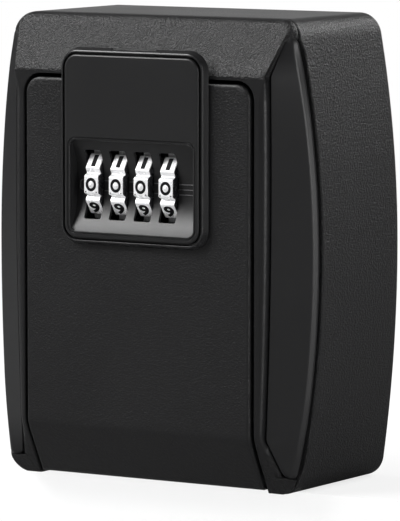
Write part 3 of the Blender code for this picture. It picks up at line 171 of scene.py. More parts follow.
class DialSizes(PropertyGroup):
    """Dial housing, fascia with its scooped window, and number wheels."""
    half: length("Half width", 25.6, "Middle to the side of the dial housing")
    low: length("Lower edge", 75.2, "Height of the lower edge")
    high: length("Upper edge", 134.2, "Height of the upper edge")
    corner: length("Corner", 5.5, "Radius of the corners")
    draft: length("Draft", 1.1, "How much wider the back is")
    proud: length("Proud", 3.8, "How far the rim stands in front")
    rim: length("Rim", 0.55, "Width of the rim")
    rim_step: length("Rim step", 0.4, "How far the rim lies behind the fascia")
    lip: length("Window lip", 0.45, "Rounding along the window's edge")
    back: length("Back", 1.1, "How far the back stands in front of the front plane")
    recess_half: length("Recess half width", 8.0, "Half width of the release tab's way behind the upper edge")
    recess: length("Recess", 2.05, "How far that way's floor stands in front of the front plane")
    fascia_gap: length("Fascia gap", 0.7, "Gap between rim and fascia")
    fascia_wall: length("Fascia wall", 1.2, "Thickness of the fascia")
    window_half: length("Window half width", 22.4, "Middle to the side of the window")
    window_low: length("Window foot", 78.5, "Height of the window's lower edge")
    window_high: length("Window top", 106.7, "Height of the window's upper edge")
    window_corner: length("Window corner", 2.2, "Radius of the window's corners")
    sag: length("Scoop sag", 4.4, "Depth of the scoop at its middle")
    axis_depth: length("Axis depth", 10.3, "Depth of the wheels' axis")
    axis_height: length("Axis height", 92.9, "Height of the wheels' axis")
    pitch: length("Pitch", 9.06, "Distance between wheels")
    shift: length("Shift", -2.1, "Offset of the wheels to the left")
    slot_half: length("Slot half width", 3.05, "Half of a wheel slot's width")
    slot_rise: length("Slot half height", 10.7, "Half of a wheel slot's height")
    face: length("Pad radius", 12.3, "Axis to a pad's face")
    root: length("Valley radius", 11.2, "Axis to the foot of a valley")
    pad_half: length("Pad half height", 2.72, "Half of a pad's height")
    wheel_half: length("Wheel half width", 2.6, "Half of a wheel's width")
    bore: length("Bore", 5.3, "Radius of a wheel's bore")
    digit_width: length("Digit width", 3.8, "Width of the nought")
    digit_height: length("Digit height", 4.2, "Height of the digits")
    digit_stroke: length("Digit stroke", 0.85, "Width of the nought's ring")
    wheels: IntProperty(name="Wheels", description="Number of wheels", default=4, min=1, max=4)
    faces: IntProperty(name="Pads", description="Pads on a wheel", default=10, min=10, max=10)


class CabinetFinish(PropertyGroup):
    """Colours and surface values."""
    coat: colour("Coat", (0.0085, 0.0085, 0.0090), "Powder coat of body, frame and door")
    trim: colour("Trim", (0.0095, 0.0095, 0.0100), "Satin trims and dial housing")
    fascia: colour("Fascia", (0.0090, 0.0090, 0.0094), "Smooth fascia")
    chrome: colour("Chrome", (0.80, 0.80, 0.81), "Number wheels")
    zinc: colour("Zinc", (0.60, 0.60, 0.62), "Plated steel")
    ink: colour("Ink", (0.003, 0.003, 0.0034), "Filled digits")
    # The marks' lighter grey is partly painted highlight, standing for the light that their raised relief catches.
    marks: colour("Marks", (0.075, 0.075, 0.078), "Index marks beside the wheels")
    dark_steel: colour("Dark steel", (0.022, 0.022, 0.024), "Sleeves and cams")
    casting: colour("Casting", (0.10, 0.10, 0.105), "Lock case")
    lever: colour("Lever", (0.42, 0.035, 0.022), "Code change lever")
    grain_size: length("Grain size", 0.60, "Width of the powder coat's grain")
    grain_depth: length("Grain depth", 0.31, "Depth of the grain")
    coat_rough: share("Coat roughness", 0.38, "Roughness of the powder coat")
    satin_rough: share("Satin roughness", 0.36, "Roughness of the smooth plastic")


class StudioSettings(PropertyGroup):
    """Camera and lamps."""
    azimuth: angle("Azimuth", 32.0, "Camera to the right of straight ahead")
    elevation: angle("Elevation", 5.9, "Camera above level")
    distance: length("Distance", 1454.0, "Camera to its target")
    lens: FloatProperty(name="Lens", description="Focal length in millimetres", subtype="DISTANCE_CAMERA",
                        default=329.7)
    key: power("Key", 9.5, "Upper left soft box")
    top: power("Top light", 7.0, "High left soft box")
    left: power("Left strip", 0.7, "Left strip light")
    strip: power("Right strip", 5.0, "Right strip light")
    back: power("Back light", 6.0, "Soft box above the back")
    fill: FloatProperty(name="Fill", description="Strength of the even room light", default=0.35)
    ledge: length("Ledge", 44.0, "Base to the floor in front, which leaves room for the open door")
    ledge_back: length("Ledge setback", 16.5, "Front plane to the ledge that carries the rear housing")


def place(x, depth, height):
    """World points from sideways place, depth behind the front plane and height above the base."""
    sizes = bpy.context.scene.cabinet_sizes
    x, depth, height = np.broadcast_arrays(x, depth, height)
    return np.stack([x, depth - sizes.depth, height - sizes.height / 2], axis=-1).astype(float)


def stood(points, depth):
    """World points from (across, height) points at a depth."""
    return place(points[..., 0], depth, points[..., 1])


def arc(across, up, radius, start, end, steps):
    """Points on a circle from one angle to another, in degrees."""
    turn = np.radians(np.linspace(start, end, steps + 1))
    return np.column_stack([across + radius * np.cos(turn), up + radius * np.sin(turn)])


def on_arc(across, up, radius, turn):
    """The point on a circle at an angle in degrees."""
    return arc(across, up, radius, turn, turn, 0)[0]


def quarter(count):
    """Values of 1 - cos over a quarter turn: 0 to 1, crowded at 0."""
    return 1 - np.cos(np.radians(np.linspace(0.0, 90.0, count)))


def line(first, last, steps):
    """Evenly spaced points from first to last."""
    part = np.linspace(0.0, 1.0, steps + 1)[:, None]
    return np.asarray(first) * (1 - part) + np.asarray(last) * part


def ease(corners, reach, steps=6):
    """Rounds the corners of many loops at once.

    corners holds loops of corner points, shape (..., count, 3). A corner gives way to the circular arc that
    touches both its edges at the distance reach, shortened where two reaches would meet on one edge.
    The arc is the weighted sum of its two end directions, sin((1 - t) a) and sin(t a) over sin(a)."""
    reach = np.broadcast_to(np.asarray(reach, float), corners.shape[:-1])[..., None]
    before = np.roll(corners, 1, -2) - corners
    after = np.roll(corners, -1, -2) - corners
    long_before = np.linalg.norm(before, axis=-1, keepdims=True)
    long_after = np.linalg.norm(after, axis=-1, keepdims=True)
    room = np.minimum(long_before / np.maximum(reach + np.roll(reach, 1, -2), 1e-9),
                      long_after / np.maximum(reach + np.roll(reach, -1, -2), 1e-9))
    reach = reach * np.minimum(1.0, room)
    before = before / np.maximum(long_before, 1e-9)
    after = after / np.maximum(long_after, 1e-9)
    cosine = np.clip((before * after).sum(-1, keepdims=True), -1.0, 1.0)
    turn = math.pi - np.arccos(cosine)
    straight = turn < 0.03
    turn = np.where(straight, 1.0, turn)
    centre = (before + after) * reach / np.maximum(1 + cosine, 1e-6)
    start = before * reach
    end = after * reach
    part = np.linspace(0.0, 1.0, steps)[:, None]
    turn, centre, start, end, flat = (item[..., None, :] for item in (turn, centre, start, end, straight))
    sine = np.maximum(np.sin(turn), 1e-6)
    bent = centre + (start - centre) * np.sin((1 - part) * turn) / sine + (end - centre) * np.sin(part * turn) / sine
    level = start * (1 - part) + end * part
    points = corners[..., None, :] + np.where(flat, level, bent)
    return points.reshape(*corners.shape[:-2], -1, 3)


class Skin:
    """Gathers patches of points and faces, then merges them into one closed, smooth mesh."""

    def __init__(self):
        self.points = []
        self.faces = []
        self.count = 0

    def loose(self, corners):
        """Faces that bring their own corner points, shape (faces, corners, 3)."""
        corners = np.asarray(corners, float)
        if len(corners):
            index = np.arange(corners.shape[0] * corners.shape[1]).reshape(corners.shape[:2]) + self.count
            self.points.append(corners.reshape(-1, 3))
            self.faces.append(index)
            self.count += index.size

    def patch(self, grid, along=False, around=False, keep=None):
        """A sheet of points. along joins the last row to the first, around the last column to the first."""
        if along:
            grid = np.concatenate([grid, grid[:1]], 0)
        if around:
            grid = np.concatenate([grid, grid[:, :1]], 1)
        rows, columns = grid.shape[:2]
        index = np.arange(rows * columns).reshape(rows, columns) + self.count
        quads = np.stack([index[:-1, :-1], index[:-1, 1:], index[1:, 1:], index[1:, :-1]], -1)
        self.points.append(grid.reshape(-1, 3))
        self.faces.append(quads.reshape(-1, 4) if keep is None else quads[keep])
        self.count += rows * columns

    def cap(self, loops, plane=(0, 2)):
        """Fills a flat outline and leaves the inner loops open."""
        flat = [[Vector((point[plane[0]], point[plane[1]], 0.0)) for point in loop] for loop in loops]
        points = np.vstack(loops)
        corners = np.array(geometry.tessellate_polygon(flat))
        self.loose(points[corners])

    def add(self, points, faces):
        """Points, and faces of any length that name them by number."""
        self.points.append(points)
        self.faces.append(np.array([[index + self.count for index in face] for face in faces], object))
        self.count += len(points)

    def sheet(self, front, back, keep):
        """Two matching grids and the walls between them wherever the kept cells end."""
        self.patch(front, keep=keep)
        self.patch(back, keep=keep)
        padded = np.pad(keep, 1)
        for down, across, ends in ((0, 1, padded[:-1, 1:-1] != padded[1:, 1:-1]),
                                   (1, 0, padded[1:-1, :-1] != padded[1:-1, 1:])):
            row, column = np.nonzero(ends)
            after = row + down, column + across
            self.loose(np.stack([front[row, column], front[after], back[after], back[row, column]], 1))

    def tube(self, grid, plane=(0, 1)):
        """A closed section carried along a path, with both ends filled."""
        self.patch(grid, around=True)
        self.cap([grid[0]], plane)
        self.cap([grid[-1]], plane)

    def finish(self, name, body, slot, *nodes, look=None, sharp=35.0):
        """The finished object: doubles merged, faces outward, smooth but for its sharp edges.

        It stands for its nodes, has its slot's finish, or the look's where one is named, and rides on its body."""
        mesh = bpy.data.meshes.new(name)
        faces = [face for group in self.faces for face in group.tolist()]
        mesh.from_pydata(np.vstack(self.points).tolist(), [], faces)
        shape = bmesh.new()
        shape.from_mesh(mesh)
        bmesh.ops.remove_doubles(shape, verts=shape.verts, dist=1.5e-6)
        bmesh.ops.dissolve_degenerate(shape, edges=shape.edges, dist=1e-7)
        bmesh.ops.recalc_face_normals(shape, faces=shape.faces)
        shape.to_mesh(mesh)
        shape.free()
        mesh.shade_smooth()
        mesh.set_sharp_from_angle(angle=math.radians(sharp))
        mesh.materials.append(finish_for(look or slot))
        item = bpy.data.objects.new(name, mesh)
        bpy.context.scene.collection.objects.link(item)
        even = item.modifiers.new("even_normals", "WEIGHTED_NORMAL")
        even.keep_sharp = True
        if nodes:
            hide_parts(*nodes)
        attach(item, body)


def maths(kind, swapped=False):
    """A method that joins a socket and another operand by a Math node of the kind."""
    def method(self, other):
        first, second = (other, self) if swapped else (self, other)
        return self.board.add("Math", {"operation": kind}, {0: first, 1: second})
    return method


class Signal:
    """One shader socket, so that sums and products of sockets read as plain expressions."""

    def __init__(self, board, socket):
        self.board = board
        self.socket = socket

    __add__ = maths("ADD")
    __radd__ = maths("ADD", swapped=True)
    __sub__ = maths("SUBTRACT")
    __rsub__ = maths("SUBTRACT", swapped=True)
    __mul__ = maths("MULTIPLY")
    __rmul__ = maths("MULTIPLY", swapped=True)
    most = maths("MAXIMUM")
    least = maths("MINIMUM")


class Board:
    """A node tree that is being filled."""

    def __init__(self, tree):
        self.tree = tree
        tree.nodes.clear()

    def add(self, kind, settings=None, inputs=None, output=0):
        """Adds a node of the kind, sets its settings, then its sockets, and returns one output."""
        node = self.tree.nodes.new("ShaderNode" + kind)
        for key, value in (settings or {}).items():
            setattr(node, key, value)
        for key, value in (inputs or {}).items():
            if isinstance(value, Signal):
                self.tree.links.new(value.socket, node.inputs[key])
            else:
                node.inputs[key].default_value = value
        return Signal(self, node.outputs[output]) if node.outputs else None

    def spot(self):
        """The place on the object."""
        return self.add("TexCoord", output=3)

    def along(self, signal, axis):
        """One coordinate of a vector."""
        return self.add("SeparateXYZ", None, {0: signal}, output=axis)

    def noise(self, spot, scale, detail=2.0, rough=0.5, bend=0.0):
        return self.add("TexNoise", None, {"Vector": spot, "Scale": scale, "Detail": detail, "Roughness": rough,
                                           "Distortion": bend})

    def bump(self, depth, height):
        return self.add("Bump", None, {"Strength": 1.0, "Distance": depth, "Height": height})

    def ramp(self, signal, low, high):
        """0 below low, 1 above high, eased between."""
        return self.add("MapRange", {"interpolation_type": "SMOOTHSTEP"},
                        {"Value": signal, "From Min": low, "From Max": high, "To Min": 0.0, "To Max": 1.0})

    def mix(self, factor, first, second):
        """Colour between two colours."""
        return self.add("Mix", {"data_type": "RGBA"}, {0: factor, 6: first, 7: second}, output=2)

    def end(self, shader, kind="OutputMaterial"):
        self.add(kind, None, {0: shader})


def tinted(value, factor=1.0):
    return (*(min(1.0, part * factor) for part in value), 1.0)


def new_material(name):
    material = bpy.data.materials.new(name)
    material.use_nodes = True
    return material, Board(material.node_tree)


def surface(board, **values):
    """A Principled shader into the material's output. Underscores in the names stand for spaces."""
    board.end(board.add("BsdfPrincipled", None, {key.replace("_", " "): value for key, value in values.items()}))


def coat_material(name, base, rough, size, depth, strips=None):
    """Powder coat with a fine leather grain.

    Cells and a bent noise give the grain's height. It fades on faces that look straight up, and beside the door,
    where strips gives the depth and the height that bound the smooth part. Slow clouds vary colour and roughness,
    and the hollows of the grain are darker."""
    material, board = new_material(name)
    spot = board.spot()
    up = board.along(board.add("TexCoord", output=1), 2)
    smooth = board.ramp(up, 0.75, 0.98)
    if strips:
        back, top = strips
        ahead, level = board.along(spot, 1), board.along(spot, 2)
        beside = (1.0 - board.ramp(ahead, back, back + MM)) * (1.0 - board.ramp(level, top - MM, top))
        smooth = smooth.most(beside)
    cells = board.add("TexVoronoi", {"feature": "SMOOTH_F1"},
                      {"Vector": spot, "Scale": 1.0 / size, "Smoothness": 0.35, "Randomness": 1.0})
    fine = board.noise(spot, 1.1 / size, 2.0, 0.6, 1.2)
    clouds = board.noise(spot, 28.0, 3.0, 0.6)
    bump = board.bump(depth, (cells * 0.6 + fine * 0.9) * (1.0 - smooth * 0.85))
    shade = board.mix(clouds, tinted(base, 0.85), tinted(base, 1.2))
    # Painted shade: where the grain's fine noise is low, in its hollows, the colour is mixed towards a darker tone.
    shade = board.mix(fine, board.mix(0.5, shade, tinted(base, 0.35)), shade)
    gloss = rough + (clouds - 0.5) * 0.10 + (fine - 0.5) * 0.12 - smooth * 0.06
    surface(board, Base_Color=shade, Roughness=gloss, Normal=bump, IOR=1.45, Specular_IOR_Level=0.33)
    return material


def satin_material(name, base, rough, depth=0.006 * MM):
    """Smooth moulded plastic: a faint fine texture, with soft clouds in colour and roughness."""
    material, board = new_material(name)
    spot = board.spot()
    fine = board.noise(spot, 2600.0)
    clouds = board.noise(spot, 45.0, 4.0, 0.6)
    shade = board.mix(clouds, tinted(base, 0.9), tinted(base, 1.12))
    surface(board, Base_Color=shade, Roughness=rough + (clouds - 0.5) * 0.08 + (fine - 0.5) * 0.04,
            Normal=board.bump(depth, fine), IOR=1.45, Specular_IOR_Level=0.36)
    return material


def wheel_material(name, base, side):
    """Bright satin plating on the pads, with painted shade on the sides where the surface looks along the axle: the
    dark of the wheel slots, put into the colour.
    """
    material, board = new_material(name)
    spot = board.spot()
    across = board.along(board.add("TexCoord", output=1), 0)
    # Painted shade: faces that look along the axle get the dark side colour and lose their metal, standing for the dark
    # of the slots around the wheels.
    shaded_flank = board.ramp(board.add("Math", {"operation": "ABSOLUTE"}, {0: across}), 0.72, 0.95)
    clouds = board.noise(spot, 500.0, 3.0, 0.6)
    fine = board.noise(spot, 2500.0)
    shade = board.mix(shaded_flank, board.mix(clouds, tinted(base, 0.93), tinted(base, 1.03)), tinted(side))
    surface(board, Base_Color=shade, Roughness=0.26 + (clouds - 0.5) * 0.2, Metallic=0.3 - shaded_flank * 0.3,
            Normal=board.bump(0.012 * MM, clouds + fine * 0.3))
    return material


def metal_material(name, base, rough, stretch=(1.0, 1.0, 1.0), scale=900.0):
    """Bare or plated metal: stretched noise for the brushing, clouds for handling marks."""
    material, board = new_material(name)
    spot = board.spot()
    drawn = board.add("Mapping", None, {"Vector": spot, "Scale": stretch})
    streak = board.noise(drawn, scale, 3.0, 0.6)
    clouds = board.noise(spot, 160.0, 4.0, 0.65)
    shade = board.mix(clouds, tinted(base, 0.85), tinted(base, 1.075))
    gloss = (rough + (clouds - 0.5) * 0.16 + (streak - 0.5) * 0.12).most(0.05)
    surface(board, Base_Color=shade, Roughness=gloss, Metallic=1.0, Normal=board.bump(0.004 * MM, streak))
    return material


def ink_material(name, base):
    """Black fill of the digits, slightly uneven and satin."""
    material, board = new_material(name)
    fine = board.noise(board.spot(), 3000.0)
    surface(board, Base_Color=board.mix(fine, tinted(base, 0.8), tinted(base, 1.4)), Roughness=0.5 + fine * 0.1,
            Specular_IOR_Level=0.12)
    return material


def finish_for(name):
    """The material of that name, made on first use from the finish settings."""
    label = "finish_" + name
    ready = bpy.data.materials.get(label)
    if ready:
        return ready
    look = bpy.context.scene.cabinet_finish
    size = bpy.context.scene.cabinet_sizes
    strips = (3.0 * MM - size.depth, size.upper_fold - 0.5 * MM - size.height / 2)
    coat = (coat_material, look.coat, look.coat_rough, look.grain_size)
    recipes = {
        "black_metal": (*coat, look.grain_depth, strips),
        "door_metal": (*coat, look.grain_depth * 0.48),
        "trim_plastic": (satin_material, look.trim, look.satin_rough, 0.012 * MM),
        "dial_plastic": (satin_material, look.trim, look.satin_rough * 0.72, 0.005 * MM),
        "fascia_plastic": (satin_material, look.fascia, look.satin_rough),
        # The dark steel colour here also serves as the painted shade on the wheels' sides.
        "wheel_chrome": (wheel_material, look.chrome, look.dark_steel),
        "cam_steel": (metal_material, look.dark_steel, 0.4),
        "steel": (metal_material, look.zinc, 0.32, (0.15, 1.0, 1.0), 1500.0),
        "screw_steel": (metal_material, look.zinc, 0.30, (1.0, 1.0, 1.0), 1200.0),
        "case_metal": (coat_material, look.casting, 0.5, 0.9 * MM, 0.03 * MM),
        "lever_plastic": (satin_material, look.lever, 0.38, 0.01 * MM),
        # Lighter grey of the index marks, partly a painted highlight on their relief.
        "marks": (satin_material, look.marks, 0.4),
        "ink": (ink_material, look.ink),
    }
    if name not in recipes:
        raise RuntimeError("no finish called " + name)
    make, *values = recipes[name]
    return make(label, *values)


def barrel(inset):
    """Front view of the body as an anticlockwise loop of (across, height).

    A straight base, lower corner arcs, sides on two large arcs each that meet upright at mid height, top corner
    arcs and a straight top, all moved in by the inset. The arcs touch, because each corner's centre lies at
    the side arc's radius less its own from the side arc's centre."""
    size = bpy.context.scene.cabinet_sizes
    middle = size.height / 2
    (low_x, low_turn), (high_x, high_turn) = corner_centres()
    notch = size.opening_half + size.flange + size.seam
    base_x = np.concatenate([np.linspace(0.0, notch, BASE_COUNTS[0]),
                             np.linspace(notch + 0.02 * MM, low_x, BASE_COUNTS[1])])
    right = np.vstack([
        np.column_stack([base_x, np.full(len(base_x), inset)]),
        arc(low_x, size.low_corner, size.low_corner - inset, -90.0, -low_turn, FOOT_STEPS)[1:],
        arc(size.half_width - size.low_arc, middle, size.low_arc - inset, -low_turn, 0.0, SIDE_STEPS)[1:],
        arc(size.half_width - size.side_arc, middle, size.side_arc - inset, 0.0, high_turn, SIDE_STEPS)[1:],
        arc(high_x, size.height - size.top_corner, size.top_corner - inset, high_turn, 90.0, HEAD_STEPS)[1:],
        line((high_x, size.height - inset), (0.0, size.height - inset), TOP_STEPS)[1:],
    ])
    left = right[1:-1][::-1] * (-1.0, 1.0)
    return np.vstack([right, left])


def corner_centres():
    """Sideways place of the lower and upper corner arcs' centres, and where each meets its side arc in degrees."""
    size = bpy.context.scene.cabinet_sizes
    places = []
    for corner, sweep in ((size.low_corner, size.low_arc), (size.top_corner, size.side_arc)):
        turn = math.asin((size.height / 2 - corner) / (sweep - corner))
        places.append((size.half_width - sweep + (sweep - corner) * math.cos(turn), math.degrees(turn)))
    return places


def trim_tips():
    """Lower and upper ends of the seam between front frame and side trims, on the corner arcs."""
    size = bpy.context.scene.cabinet_sizes
    (low_x, _), (high_x, _) = corner_centres()
    low = on_arc(low_x, size.low_corner, size.low_corner, -LOW_TIP_TURN)
    high = on_arc(high_x, size.height - size.top_corner, size.top_corner, HIGH_TIP_TURN)
    return low, high


def fold_depth(side_step, top_step):
    """Depth of the fold for each point of the barrel loop.

    Level along the base and the top, falling as the square of the rise along the sides, with the steps added."""
    size = bpy.context.scene.cabinet_sizes
    base = np.full(sum(BASE_COUNTS), size.low_setback + side_step)
    part = np.arange(1, FOOT_STEPS + 1) / FOOT_STEPS
    low = size.low_setback + (size.lower_tip - size.low_setback) * part + side_step
    rise = np.arange(1, 2 * SIDE_STEPS + 1) / SIDE_STEPS - 1
    tip = np.where(rise > 0, size.upper_tip, size.lower_tip)
    side = size.side_setback + (tip - size.side_setback) * rise ** 2 + side_step
    part = np.arange(1, HEAD_STEPS + 1) / HEAD_STEPS
    high = size.upper_tip + (size.top_setback - size.upper_tip) * part + side_step + (top_step - side_step) * part
    top = np.full(TOP_STEPS, size.top_setback + top_step)
    right = np.concatenate([base, low, side, high, top])
    return np.concatenate([right, right[1:-1][::-1]])


def barrel_at(inset, depth):
    return stood(barrel(inset), depth)


def ring(centre, radius, axis, steps=40, turn=0.0):
    """A circle about an axis through centre. Angle 0 lies on the first of the other two axes."""
    bearing = np.linspace(0.0, 2 * math.pi, steps, endpoint=False) + turn
    points = np.repeat(np.asarray(centre, float)[None], steps, 0)
    across = [index for index in range(3) if index != axis]
    points[:, across[0]] += radius * np.cos(bearing)
    points[:, across[1]] += radius * np.sin(bearing)
    return points


def lathe(skin, centre, axis, profile, reach, steps=40, ease_steps=5, closed=False):
    """Turns a profile of (distance along the axis, radius) about the axis, with its corners rounded first."""
    bearing = np.linspace(0.0, 2 * math.pi, steps, endpoint=False)[:, None]
    along, radius = np.array(profile).T[:, None]
    across = [index for index in range(3) if index != axis]
    points = np.zeros((steps, len(profile), 3)) + np.asarray(centre, float)
    points[..., axis] += along
    points[..., across[0]] += radius * np.cos(bearing)
    points[..., across[1]] += radius * np.sin(bearing)
    skin.patch(ease(points, reach, ease_steps), along=True, around=closed)


def rounded_rectangle(half, low, high, radius, steps=10, middle=0.0):
    """An anticlockwise loop of (across, height) with round corners."""
    corners = ((half, low, -90.0), (half, high, 0.0), (-half, high, 90.0), (-half, low, 180.0))
    parts = []
    for across, up, start in corners:
        centre_x = middle + across - math.copysign(radius, across)
        centre_z = up + radius if up == low else up - radius
        parts.append(arc(centre_x, centre_z, radius, start, start + 90.0, steps))
    return np.vstack(parts)


def block(skin, across, depth, height, edge=0.4 * MM):
    """A cuboid with all its edges rounded: rounded rectangles stacked along the depth, the end ones drawn in."""
    low, high = sorted(height)
    half = abs(across[1] - across[0]) / 2
    middle = (across[0] + across[1]) / 2
    start, end = sorted(depth)
    turn = np.radians(np.linspace(0.0, 90.0, 5))
    inset = np.concatenate([edge * (1 - np.sin(turn)), edge * (1 - np.sin(turn[::-1]))])
    level = np.concatenate([start + edge * quarter(5), end - edge * quarter(5)[::-1]])
    rows = []
    for draw, at_level in zip(inset, level):
        loop = rounded_rectangle(half - draw, low + draw, high - draw, edge * 1.001 - draw * 0.999, 4, middle)
        rows.append(stood(loop, at_level))
    skin.tube(np.stack(rows), plane=(0, 2))


def lug_blocks(skin, across, depth, edge):
    """Four rounded blocks at the frame screws, between two sideways places on each side."""
    size = bpy.context.scene.cabinet_sizes
    for side in (-1, 1):
        for height in (size.lug_low, size.lug_high):
            span = [side * place_x for place_x in across]
            block(skin, span, depth, (height - size.lug_half, height + size.lug_half), edge)


def graded(edges, reach, steps, parts):
    """Grid lines through the edges, closer together within the reach of each outer edge."""
    near = reach * quarter(steps + 1)
    low, high = edges[0], edges[-1]
    inner = [low + reach, *edges[1:-1], high - reach]
    rows = [low + near, high - near]
    rows += [np.linspace(first, last, count + 1) for first, last, count in zip(inner[:-1], inner[1:], parts)]
    return np.unique(np.round(np.concatenate(rows), 9))


def edge_distance(x, z, half, low, high, radius):
    """Distance inside a rounded rectangle, negative outside it."""
    middle = (low + high) / 2
    across = np.abs(x) - (half - radius)
    up = np.abs(z - middle) - ((high - low) / 2 - radius)
    outside = np.hypot(np.maximum(across, 0.0), np.maximum(up, 0.0)) + np.minimum(np.maximum(across, up), 0.0)
    return radius - outside


def rounding(distance, radius):
    """How far a rounded edge has dropped at a distance from its rim: r - sqrt(r^2 - (r - d)^2)."""
    gap = np.clip(radius - np.clip(distance, 0.0, None), 0.0, radius)
    return radius - np.sqrt(np.maximum(radius ** 2 - gap ** 2, 0.0))


def row_extent(z, half, low, high, radius_low, radius_high):
    """Half width of a shape with rounded corners at each height."""
    down = np.clip(low + radius_low - z, 0.0, radius_low)
    up = np.clip(z - (high - radius_high), 0.0, radius_high)
    below, above = radius_low - np.sqrt(radius_low ** 2 - down ** 2), radius_high - np.sqrt(radius_high ** 2 - up ** 2)
    return half - below - above


def fold(height, fold_height, slope, width):
    """Depth of a face that bends back below a height, with the bend eased: slope (d + sqrt(d^2 + w^2)) / 2."""
    below = fold_height - height
    return slope * (below + np.sqrt(below ** 2 + width ** 2)) / 2


class CABINET_OT_body(Operator):
    """Rear housing: one wall carried round the barrel outline, with a flat back, screw holes and lugs"""
    bl_idname = "cabinet.body"
    bl_label = "Rear housing"

    def execute(self, context):
        size = context.scene.cabinet_sizes
        skin = Skin()
        outer = barrel(0.0)
        low_tip, high_tip = trim_tips()
        z = outer[:, 1]
        fade = 4.0 * MM
        beside = np.clip((z - low_tip[1]) / fade, 0.0, 1.0) * np.clip((high_tip[1] - z) / fade, 0.0, 1.0)
        seam = fold_depth(size.side_step, size.top_step) + size.seam + size.groove * beside
        notch = size.opening_half + size.flange + size.seam + 0.01 * MM
        notch_depth = size.flange_end + 0.7 * MM
        seam = np.where((z < 0.1 * MM) & (np.abs(outer[:, 0]) < notch), notch_depth, seam)
        inside = size.depth - size.wall
        loops = [(4.0 * MM, size.depth), (0.0, size.depth), (0.0, seam), (size.wall, seam),
                 (size.wall, inside), (size.wall + 2.0 * MM, inside)]
        corners = np.stack([barrel_at(inset, depth) for inset, depth in loops], 1)
        grid = ease(corners, [0.0, size.rear_edge, 0.6 * MM, 0.3 * MM, 1.4 * MM, 0.0], 7)
        skin.patch(grid, along=True)
        outside_loops, inside_loops = [grid[:, 0]], [grid[:, -1]]
        steps = 36
        for side in (-1, 1):
            for rise in (-1, 1):
                centre = place(side * size.hole_half, size.depth, size.height / 2 + rise * size.hole_rise)
                profile = [(0.0, size.hole_mouth), (-0.5 * MM, size.hole), (-size.wall, size.hole)]
                lathe(skin, centre, 1, profile, [0.0, 0.3 * MM, 0.0], steps)
                outside_loops.append(ring(centre, size.hole_mouth, 1, steps))
                inside_loops.append(ring(centre - (0.0, size.wall, 0.0), size.hole, 1, steps))
        skin.cap(outside_loops)
        skin.cap(inside_loops)
        lug_blocks(skin, (44.2 * MM, 53.2 * MM), (12.2 * MM, 18.0 * MM), 0.5 * MM)
        skin.finish("rear_shell", "cabinet", "black_metal", "rear_housing")
        return {"FINISHED"}


